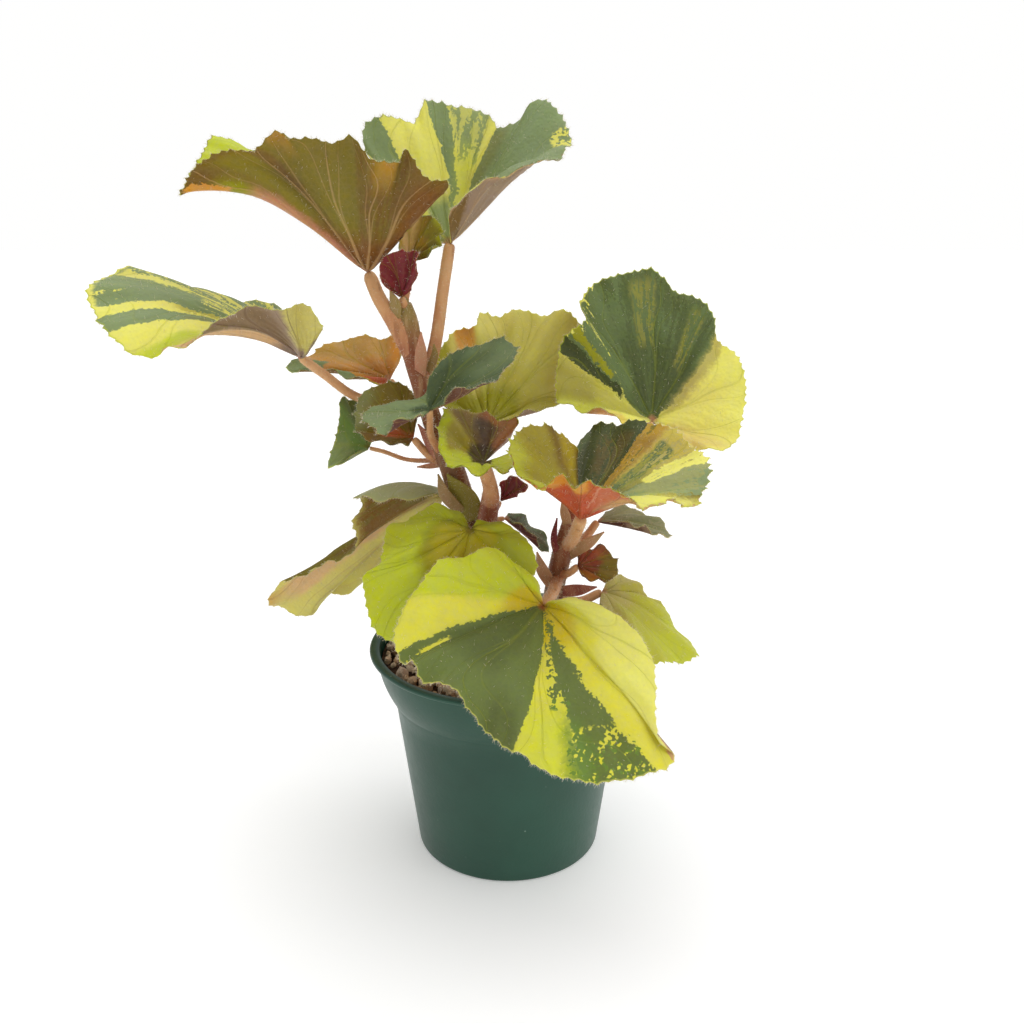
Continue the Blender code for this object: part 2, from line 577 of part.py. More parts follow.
def lump(x, y):
    """How high the grit stands at a place on the soil."""
    place = Vector((x, y, 0.0)) / LUMP_WIDTH
    return LUMP_HEIGHT * (noise.noise(place) + SMALL_SHARE * noise.noise(SMALL_SCALE * place))


def add_soil(mat):
    """The soil fills the pot, with a lumpy top and a plain hole for each cane's foot."""
    outside = pot_outside()
    wall = [(radius - WALL - GAP, z) for radius, z in outside[3:]]
    rim = [(radius, z) for radius, z in wall if z < SOIL_TOP - 0.5]
    (low_radius, low_z), (high_radius, high_z) = rim[-1], wall[len(rim)]
    top_radius = low_radius + (high_radius - low_radius) * (SOIL_TOP - low_z) / (high_z - low_z)
    profile = [(0.0, BASE_THICK + GAP), (BASE_RADIUS - WALL - GAP, BASE_THICK + GAP), *rim,
               (top_radius, SOIL_TOP)]
    for ring in range(SOIL_RINGS - 1, 0, -1):
        profile.append((top_radius * ring / SOIL_RINGS, SOIL_TOP))
    profile.append((0.0, SOIL_TOP))
    soil = add_turned("soil", profile, POT_SIDES, mat)
    for vertex in soil.data.vertices:
        x, y, z = vertex.co / MM
        if z > SOIL_TOP - 0.1 and math.hypot(x, y) < top_radius - 0.1:
            vertex.co.z += lump(x, y) * MM
    holes = []
    for x, y in (LEFT_FOOT, RIGHT_FOOT):
        row = [np.array([x, y, FOOT_BOTTOM - GAP, FOOT_RADIUS + 3 * GAP]),
               np.array([x, y, SOIL_TOP + 6.0, FOOT_RADIUS + 3 * GAP])]
        holes.append(add_tube("hole", row, steps=1))
    cut_away(soil, holes)
    return soil


def build():
    clear_scene()
    leaf = material("leaf", (0.42, 0.47, 0.10), 0.55)
    young = material("young_leaf", (0.22, 0.05, 0.06), 0.55)
    stem = material("stem", (0.42, 0.23, 0.13), 0.55)
    plastic = material("pot_plastic", (0.05, 0.12, 0.09), 0.45)
    earth = material("soil_mix", (0.28, 0.21, 0.15), 0.95)
    add_pot(plastic)
    add_soil(earth)
    blades = {}
    for name, spec in BLADES.items():
        blades[name] = add_blade(name, spec, young if name in YOUNG_BLADES else leaf)
    add_cane("cane_left", LEFT_FOOT, CANE_LEFT, LEFT_SHOOTS, LEFT_STALKS, LEFT_STIPULES,
             blades, stem)
    add_cane("cane_right", RIGHT_FOOT, CANE_RIGHT, [], RIGHT_STALKS, RIGHT_STIPULES,
             blades, stem)


build()
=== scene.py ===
"""The dressed begonia: fine toothed and hairy leaves, stems, grit, pot, light and camera.

Lengths are in millimetres until a mesh is made. The middle of the pot's base is the
origin, +X is to the right, +Y is away from the viewer and +Z is up.
"""
import json
import math

import bpy
import numpy as np
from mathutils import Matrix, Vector, noise

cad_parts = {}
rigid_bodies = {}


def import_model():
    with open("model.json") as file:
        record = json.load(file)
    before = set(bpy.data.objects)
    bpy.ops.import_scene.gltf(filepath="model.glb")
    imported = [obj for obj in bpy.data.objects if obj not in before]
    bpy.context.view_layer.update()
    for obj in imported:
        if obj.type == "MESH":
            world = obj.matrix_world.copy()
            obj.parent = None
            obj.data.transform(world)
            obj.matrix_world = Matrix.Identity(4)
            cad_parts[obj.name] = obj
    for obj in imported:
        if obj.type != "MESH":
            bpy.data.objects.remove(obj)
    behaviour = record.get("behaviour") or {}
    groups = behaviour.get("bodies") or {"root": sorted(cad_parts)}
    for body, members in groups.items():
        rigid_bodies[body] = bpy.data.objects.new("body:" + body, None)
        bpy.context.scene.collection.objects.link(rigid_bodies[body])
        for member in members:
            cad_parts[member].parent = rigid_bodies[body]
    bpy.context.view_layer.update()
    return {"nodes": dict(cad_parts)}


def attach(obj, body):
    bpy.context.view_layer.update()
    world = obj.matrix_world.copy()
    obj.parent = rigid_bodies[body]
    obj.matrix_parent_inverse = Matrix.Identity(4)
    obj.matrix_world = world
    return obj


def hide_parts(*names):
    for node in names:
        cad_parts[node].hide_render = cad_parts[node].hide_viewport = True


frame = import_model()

MM = 0.001
FULL_TURN = 2 * math.pi

# The viewer: where the eye is, how far it looks down, and the picture's own scale.
EYE = np.array([1.3, -325.4, 216.1])
LOOK_DOWN = math.radians(17.31)
FOCAL_PIXELS = 1080.9
PICTURE_WIDTH = 1024
PICTURE_MIDDLE = 512.0
SENSOR_MM = 36.0
NEAREST_SEEN = 0.01
FARTHEST_SEEN = 20.0

# Pot, as in the frame. A small step parts its body from the curved band under the lip.
POT_HEIGHT = 70.4
LIP_RADIUS = 45.0
LIP_THICK = 1.6
BASE_RADIUS = 30.5
FOOT_ROUND = 1.2
BODY_TOP_RADIUS = 37.0
BODY_TOP_Z = 51.5
BODY_ROWS = 12
STEP_OUT = 0.5
STEP_UP = 0.7
BAND_FROM = 1.0
BAND_TOP_RADIUS = 42.6
BAND_SWELL = 0.8
BAND_ROWS = 24
WALL = 1.0
BASE_THICK = 1.6
POT_SIDES = 144
DRAIN_RADIUS = 3.2
DRAIN_CIRCLE = 20.0
DRAIN_HOLES = 6
DRAIN_SIDES = 32
SHARP_ANGLE = math.radians(40)

# Soil and grit. Each layer of grains lies so high over the soil, and its grains are so far
# apart, between the smallest and the largest in radius, and at most so many to a square metre.
SOIL_TOP = 66.3
SOIL_RADIUS = 40.8
LEFT_FOOT = (-9.5, 0.0)
RIGHT_FOOT = (13.5, -1.0)
FOOT_BOTTOM = 50.0
FOOT_ABOVE_SOIL = 4.0
FOOT_RADIUS = 3.6
GRAIN_SHAPES = 6
GRAIN_LUMP = 0.55
GRAIN_CHIP = 0.22
GRIT_LAYERS = (
    dict(over=0.7, spacing=3.7, small=1.7, large=2.6, seed=3, density=90000.0),
    dict(over=1.2, spacing=1.9, small=0.6, large=1.2, seed=11, density=260000.0))
BED_RINGS = 12
BED_SIDES = 48

# Blades: the frame's form, made finer. The broad form is the margin evened out over so many
# of its points. A ring of columns lies at each reach, which is 0 at the joint and 1 at the
# margin, and the rings crowd together near the margin.
EVEN_OUT = 2
BELLY_SHARE = 6.75
FINE_STEPS = 12
COLUMN = 0.75
INNER_RINGS = 19
INNER_REACH = 0.93
INNER_CROWDING = 0.9
EDGE_RINGS = (0.955, 0.975, 0.99, 1.0)
MIDDLE_THICK = 0.55
EDGE_THICK = 0.26
MARGIN_SHARE = 0.2
FULL_SPAN = 22.0
UPPER_SIDE_WAY = (0.0, -0.4, 1.0)

# Relief: the tissue quilts between the veins, puffs between their forks and waves toward the
# margin. The veins stray sideways, and stand out as ridges underneath and grooves on top. A
# ridge rises soon after the joint, and gets lower and narrower toward the margin.
QUILT = 0.75
RUFFLE = 0.5
RUFFLES_PER_VEIN = 3.3
PUFF = 0.3
PUFF_STEEP = 6
EDGE_WAVE = 0.45
EDGE_WAVE_LENGTH = 9.0
EDGE_WAVE_DRIFT = 17.0
FORK_REACH = 0.3
FORK_SPREAD = 0.3
BEND = 0.7
BEND_LENGTH = 19.0
RIDGE = 0.42
GROOVE_SHARE = 0.25
RIDGE_HALF_WIDTH = 0.75
RIDGE_TAPER = 0.4
RIDGE_LOWERS = 0.85
RIDGE_RISES = 12

# Teeth: the height of one tooth's columns, the length of a full one, and how much each
# blade's teeth differ from that.
TOOTH = (0.0, 0.4, 1.0, 0.3)
TOOTH_LENGTH = 1.3
SMALLEST_TOOTH = 0.3
SECOND_TOOTH = 0.72
TEETH_REACH = 0.06
TOOTHED = {"leaf_front": 0.85, "leaf_front_left": 0.9, "leaf_centre": 1.6, "leaf_centre_back": 1.4,
           "leaf_orange": 1.4, "leaf_cup_middle": 1.9, "leaf_cup_right": 1.9}

# Hairs: how many to a square millimetre, and their length and width at the root. The margin
# has so many times as many as the rest of a blade. A hair leans by chance, and its length is
# a share of the full one by chance too.
LEAF_HAIRS = (0.16, 1.15, 0.055)
STEM_HAIRS = (1.0, 1.2, 0.05)
MARGIN_HAIRS = 220.0
STEM_SEED = 77
STIPULE_SEED = 5
HAIR_LEAN = 0.75
HAIR_SHORTEST = 0.45
HAIR_LONGEST = 1.15
ANY_TURN = 6.28

# Stems: rings of so many points, melted together on a grid and evened out. The ages are those
# at a stem's two ends, from 0 for a peach-coloured young stalk to 1 for the brown cane. The
# left cane turns green at the height GREEN_FROM.
STEM_SIDES = 14
STEM_STEPS = 8
STEM_THINNEST = 0.25
STEM_VOXEL = 0.42
STEM_EVEN_FACTOR = 0.5
STEM_EVEN_TIMES = 4
STALK_SHORT = 0.15
STALK_NECK = 0.95
STALK_END = 0.6
GREEN_FROM = 166.0
GREEN_BLEND = 10.0
GREEN_MOST = 0.85
GREEN_OLDER_THAN = 0.5
CANE_AGES = (1.0, 0.62)
SHOOT_AGES = (0.8, 0.6)
STALK_AGES = (0.42, 0.08)
STIPULE_SIDES = 16
STIPULE_STEPS = 10
STIPULE_THICK = 0.5
STIPULE_TIP = 0.2
STIPULE_BASE = 0.8

# Paint: how many blocks, wanderings, patches and streaks there are to the metre or to the
# blade, and how far blocks and wanderings fray an edge, in millimetres.
BLOCKS_TO_METRE = 1300.0
WANDER_TO_METRE = 170.0
PATCHES_TO_METRE = 260.0
WANDER_FRAY = 3.4
BLOCK_FRAY = 0.7
STREAKS_TO_POINT = 2.6
STREAK_BREAKS = 2.2
NARROWEST_POINT = 0.4

# Finer marks on a blade: how many to the metre, and how wide the rim and the joint's spot are.
DRIFTS_TO_METRE = 60.0
MOTTLES_TO_METRE = 420.0
NET_TO_METRE = 620.0
AREOLES_TO_METRE = 950.0
RIM_WIDTH = 0.7
JOINT_SPOT = 2.6

# Light: the strength of the even light from all around, of the white floor's own glow, and
# of two broad lights, with the direction each comes from and its width in degrees.
AMBIENT = 0.5
FLOOR_GLOW = 0.2
FLOOR_HALF = 3000.0
BROAD_LIGHTS = {
    "overhead": (1.5, (0.1, 0.2, 1.0), 75),
    "right_hand": (0.5, (1.0, -0.8, 0.9), 50)}

# A blade: the stalk's joint, then the points that its margin passes, each as (across, down,
# depth, arch). The arch is how far the line from joint to margin bows the way that the
# whole blade faces, and "belly" how far a funnel's wall bows out to its lower side near
# the joint.
BLADES = {
    "leaf_top_left": dict(joint=(368, 272, 6), veins=8, belly=3.5, margin=[
        (398, 240, 20, 0), (410, 190, 30, 0), (352, 165, 36, 0), (300, 152, 33, 1),
        (250, 147, 28, 3), (214, 134, 22, 6), (198, 157, 14, 8), (178, 194, 4, 9),
        (192, 166, -6, 8), (222, 150, -9, 6.5), (250, 148, -11, 4), (270, 132, -13, 2),
        (293, 135, -14, 1), (330, 138, -14, 0), (354, 137, -14, 0), (376, 158, -13, 0),
        (398, 160, -12, 0), (408, 148, -11, 0), (426, 173, -8, 0), (450, 181, -5, 1),
        (446, 192, -4, 3)]),
    "leaf_top_right": dict(joint=(450, 243, 12), veins=8, belly=1.5, margin=[
        (430, 223, 9, 0), (398, 190, 10, 0), (370, 160, 12, 0), (360, 138, 14, 0),
        (367, 120, 16, 0), (394, 113, 20, 0), (413, 121, 23, 0), (426, 98, 26, 0),
        (452, 104, 28, 0), (488, 111, 29, 0), (500, 127, 28, 0), (518, 119, 27, 0),
        (540, 95, 24, 1), (565, 117, 18, 2), (572, 140, 10, 4), (563, 154, 2, 8),
        (530, 163, -4, 7.5), (495, 179, -6, 4.5), (465, 193, -5, 1), (448, 212, 0, 0)]),
    "leaf_far_left": dict(joint=(300, 357, 16), veins=7, belly=2.2, margin=[
        (313, 344, 13, 0), (323, 323, 8, 0), (300, 303, 2, 0), (272, 309, -3, 1),
        (240, 307, -6, 2), (205, 327, -9, 5), (187, 347, -12, 7), (168, 345, -13, 8),
        (150, 359, -14, 8.5), (108, 334, -12, 8), (93, 312, -4, 8), (86, 287, 4, 7.4),
        (124, 267, 16, 6.6), (165, 285, 24, 5.6), (220, 296, 30, 4), (262, 302, 35, 2),
        (292, 318, 35, 0), (312, 338, 28, 0)]),
    "leaf_orange": dict(joint=(390, 379, 20), veins=5, margin=[
        (401, 360, 27, 0), (401, 340, 30, 0), (384, 336, 32, 0), (362, 335, 34, 0),
        (334, 339, 35, 0), (306, 354, 34, 1), (284, 368, 31, 1), (304, 370, 28, 1),
        (328, 372, 24, 0), (346, 376, 20, 0), (366, 381, 17, 0), (382, 386, 17, 0)]),
    "leaf_small_left": dict(joint=(369, 448, 18), veins=5, margin=[
        (374, 438, 22, 0), (372, 420, 26, 0), (354, 399, 26, 0), (339, 396, 22, 0),
        (338, 425, 14, 0), (326, 468, 8, 0), (345, 460, 8, 0), (361, 452, 12, 0)]),
    "leaf_centre": dict(joint=(430, 410, -10), veins=7, margin=[
        (444, 402, -17, 0), (462, 386, -22, 0), (482, 385, -22, 0),
        (500, 380, -19, 0), (506, 365, -15, 0), (521, 350, -9, 0), (508, 337, -3, 0),
        (475, 342, -1, 0), (446, 355, -4, 0), (430, 375, -6, 0), (424, 394, -7, 0),
        (395, 402, -7, 0), (366, 408, -11, 0), (358, 420, -17, 0), (378, 434, -21, 0),
        (392, 425, -21, 0), (412, 420, -19, 0), (422, 416, -15, 0)]),
    "leaf_centre_back": dict(joint=(413, 438, 2), veins=5, margin=[
        (417, 422, 5, 0), (417, 402, 7, 0), (402, 380, 10, 0), (375, 383, 10, 0),
        (357, 394, 8, 0), (352, 425, 3, 0), (360, 439, -2, 0), (382, 441, -6, 0),
        (400, 445, -6, 0), (408, 447, -3, 0)]),
    "leaf_back": dict(joint=(487, 425, 16), veins=7, margin=[
        (462, 419, 15, 0), (440, 405, 17, 0), (421, 392, 20, 0), (418, 368, 24, 0),
        (443, 342, 28, 0), (456, 327, 30, 0), (474, 325, 32, 0), (481, 310, 34, 0),
        (500, 315, 36, 0), (518, 307, 37, 0), (545, 313, 39, 0), (563, 309, 40, 0),
        (582, 321, 41, 0), (588, 350, 40, 0), (576, 385, 34, 0), (554, 408, 25, 0),
        (538, 407, 21, 0), (522, 416, 18, 0)]),
    "leaf_cup_middle": dict(joint=(483, 463, -16), veins=7, margin=[
        (507, 444, 1, 0), (520, 421, 3, 0), (500, 416, 4, 0), (476, 410, 4, 0),
        (452, 404, 0, 0), (440, 412, -6, 0), (435, 436, -14, 0), (440, 456, -22, 0),
        (458, 469, -29, 0), (478, 476, -31, 0), (490, 470, -29, 0), (507, 471, -24, 0),
        (519, 461, -16, 0), (515, 450, -7, 0)]),
    "leaf_right": dict(joint=(652, 421, 24), veins=8, margin=[
        (640, 424, 15, 0), (614, 418, 10, 0), (595, 407, 8, 0), (573, 409, 10, 0),
        (556, 400, 12, 0), (555, 372, 18, 0), (563, 336, 25, 0), (584, 318, 31, 0),
        (580, 300, 36, 0), (596, 280, 41, 0), (630, 271, 46, 0), (656, 268, 47, 0),
        (675, 290, 46, 0), (696, 295, 44, 0), (714, 311, 41, 0), (719, 339, 36, 0),
        (738, 352, 30, 0), (748, 384, 22, 0), (744, 422, 14, 0), (737, 441, 8, 0),
        (716, 453, 4, 0), (690, 446, 8, 0), (668, 432, 16, 0)]),
    "leaf_cup_right": dict(joint=(581, 519, -34), veins=8, margin=[
        (578, 456, -5, 0), (567, 437, -6, 0), (545, 425, -12, 0), (520, 424, -20, 0),
        (505, 448, -32, 0), (516, 472, -41, 1), (537, 488, -46, 2.5), (560, 475, -50, 1.5),
        (575, 484, -52, 0.5), (590, 479, -53, 0), (612, 491, -53, 0.5), (636, 497, -51, 2),
        (652, 511, -48, 4), (675, 501, -44, 3.5), (698, 505, -38, 3), (714, 470, -26, 2),
        (702, 449, -16, 1), (678, 428, -6, 0), (655, 423, 0, 0), (640, 419, 4, 0),
        (610, 420, 9, 0), (586, 432, 11, 0), (571, 448, 9, 0)]),
    "leaf_thin_right": dict(joint=(598, 521, 6), veins=5, margin=[
        (606, 512, 14, 0), (622, 506, 16, 0), (645, 512, 16, 1), (663, 521, 12, 1),
        (674, 538, 5, 1), (660, 534, 0, 0), (645, 528, -2, 0), (628, 523, -2, 0),
        (612, 521, 0, 0)]),
    "leaf_red_brown": dict(joint=(578, 566, -12), veins=5, margin=[
        (578, 556, -6, 0), (588, 547, -3, 0), (602, 545, -3, 0), (613, 552, -5, 0),
        (619, 563, -8, 0), (620, 574, -12, 0), (611, 581, -16, 0), (597, 582, -18, 0),
        (583, 577, -17, 0)]),
    "leaf_low_right": dict(joint=(602, 592, 8), veins=6, margin=[
        (606, 580, 16, 1), (620, 573, 20, 2), (641, 586, 20, 2), (647, 598, 19, 2),
        (661, 602, 17, 2), (677, 628, 12, 3), (699, 656, 5, 3), (675, 664, -8, 3),
        (650, 664, -18, 3), (628, 642, -19, 2), (606, 624, -13, 1), (599, 606, -4, 0)]),
    "leaf_front": dict(joint=(543, 606, -34), veins=8, margin=[
        (541, 592, -32, 1), (534, 577, -31, 2), (516, 563, -31, 2), (498, 549, -31, 2),
        (482, 546, -32, 2), (462, 556, -34, 2), (438, 559, -37, 2), (421, 580, -42, 2),
        (402, 607, -47, 3), (391, 641, -52, 3), (401, 664, -56, 3), (411, 662, -58, 3),
        (424, 685, -62, 3), (451, 689, -65, 3), (478, 722, -72, 3), (505, 752, -77, 3),
        (526, 757, -78, 3), (545, 773, -80, 3), (598, 783, -83, 4), (655, 777, -83, 5),
        (675, 758, -80, 5), (662, 742, -78, 4), (657, 700, -70, 3), (655, 664, -62, 3),
        (638, 634, -55, 3), (606, 606, -46, 2), (575, 597, -41, 2), (556, 600, -37, 1)]),
    "leaf_front_left": dict(joint=(470, 530, -22), veins=8, margin=[
        (464, 520, -18, 1), (450, 509, -16, 1), (428, 505, -14, 2), (404, 520, -16, 2),
        (384, 529, -20, 2), (379, 562, -26, 3), (361, 577, -28, 3), (363, 596, -32, 3),
        (372, 630, -38, 3), (392, 644, -38, 3), (420, 640, -36, 3), (450, 620, -32, 2),
        (480, 600, -28, 2), (520, 590, -25, 2), (538, 572, -23, 2), (534, 549, -22, 2),
        (520, 532, -21, 2), (498, 521, -20, 1), (478, 522, -19, 1)]),
    "leaf_low_left": dict(joint=(444, 492, 8), veins=7, margin=[
        (440, 496, -1, 0), (422, 498, -8, 2), (396, 498, -9, 3.5), (371, 498, -5, 4),
        (353, 498, 3, 4), (360, 506, 9, 3), (350, 522, 11, 2), (354, 547, 13, 2),
        (320, 569, 21, 1.5), (284, 583, 27, 1.5), (267, 600, 32, 2), (287, 614, 36, 2),
        (312, 614, 38, 1), (326, 594, 38, 1), (344, 595, 38, 0.5), (358, 584, 37, 0),
        (395, 560, 34, 0), (432, 522, 26, 0)]),
    "leaf_young_crimson": dict(joint=(402, 297, 3), veins=3, margin=[
        (393, 292, -1, 0), (376, 271, -5, 0), (386, 254, -5, 0), (398, 248, -4, 0),
        (412, 249, -4, 0), (420, 253, -6, 0), (417, 272, -6, 0), (411, 290, -1, 0)]),
    "leaf_young_lime": dict(joint=(409, 262, 4), veins=5, margin=[
        (398, 248, 7, 0), (402, 228, 7, 0), (418, 215, 7, 0), (432, 214, 6, 0),
        (442, 222, 3, 0), (444, 236, -1, 0), (437, 246, -3, 0), (428, 256, -3, 0)]),
    "leaf_young_purple": dict(joint=(501, 501, -7), veins=3, margin=[
        (502, 494, -4, 0), (505, 478, -3, 0), (516, 475, -5, 0), (531, 488, -9, 0),
        (517, 495, -10, 0)]),
    "leaf_curled": dict(joint=(505, 518, -3), veins=3, margin=[
        (511, 512, 1, 0), (524, 516, 6, 0), (538, 528, 8, 0), (548, 541, 7, 0),
        (550, 552, 3, 0), (540, 545, -1, 0), (529, 532, -4, 0), (515, 523, -5, 0)]),
}

# Colours as they look in daylight, each channel from 0 to 255.
TISSUE = {
    "yellow": (218, 212, 74), "pale": (230, 226, 116), "straw": (232, 225, 112),
    "gold": (206, 184, 40), "amber": (178, 140, 40), "lime": (190, 200, 50),
    "leaf_yellow": (176, 168, 66), "light_khaki": (208, 198, 108), "khaki": (182, 170, 92),
    "mustard": (152, 136, 36), "dull_lime": (168, 174, 40), "moss": (146, 144, 20),
    "olive": (120, 108, 32), "green": (108, 136, 56), "leaf_green": (112, 146, 80),
    "grey_green": (106, 120, 60), "forest": (98, 114, 66), "fern": (88, 104, 72),
    "sage": (134, 150, 104), "light_sage": (170, 176, 128), "deep_green": (62, 70, 28),
    "orange": (206, 146, 62), "tan": (200, 162, 110), "peach": (216, 178, 128),
    "brown": (114, 86, 30), "red_brown": (134, 74, 36), "red": (186, 88, 52),
    "crimson": (112, 36, 40), "wine": (122, 34, 46), "plum": (100, 62, 56),
    "mauve": (152, 130, 108), "pink": (200, 134, 106), "dark_brown": (62, 42, 18),
}

# Tones of the other finishes, as (place on the ramp, colour).
HAIR_TONES = [(0.3, (202, 184, 142)), (0.7, (238, 228, 206))]
STEM_TONES = [(0.0, (226, 182, 128)), (0.3, (204, 148, 98)), (0.5, (168, 98, 66)),
              (0.66, (144, 78, 46)), (0.85, (126, 84, 48)), (1.0, (112, 88, 50))]
STEM_GREEN = (144, 126, 62)
STIPULE_TONES = [(0.0, (138, 128, 40)), (0.25, (140, 122, 58)), (0.5, (178, 142, 100)),
                 (0.75, (190, 130, 100)), (1.0, (120, 46, 46))]
POT_TONES = [(0.3, (22, 66, 50)), (0.7, (32, 80, 62))]
POT_DUST = (150, 176, 158)
POT_STAIN = (150, 96, 52)
SOIL_TONES = [(0.35, (40, 28, 20)), (0.55, (82, 60, 42)), (0.75, (136, 108, 80))]
GRIT_TONES = [(0.0, (92, 68, 48)), (0.12, (150, 118, 86)), (0.3, (190, 160, 124)),
              (0.55, (216, 192, 156)), (0.8, (230, 212, 182)), (0.93, (210, 158, 108)),
              (1.0, (240, 230, 212))]
GRIT_PIT = (112, 86, 62)
FLOOR_WHITE = (0.97, 0.97, 0.965, 1.0)
LIGHT_WHITE = (1.0, 1.0, 0.995, 1.0)

# How a patch of tissue lies on its ground: how soft its edges are in millimetres, the share
# of it that is filled, how strongly it covers, and whether it is filled in streaks from the
# joint outward or in small blocks.
LOOKS = {
    "solid": (0.12, 1.0, 1.0, "blocks"), "streaks": (0.15, 0.62, 1.0, "streaks"),
    "blocks": (0.12, 0.66, 1.0, "blocks"), "flecks": (0.12, 0.36, 1.0, "blocks"),
    "specks": (0.12, 0.16, 1.0, "blocks"), "soft": (1.8, 1.0, 0.9, "blocks"),
    "faint": (3.0, 1.0, 0.45, "blocks"), "hint": (0.9, 0.45, 0.4, "streaks"),
    "islands": (0.3, 0.36, 0.85, "streaks"),
}

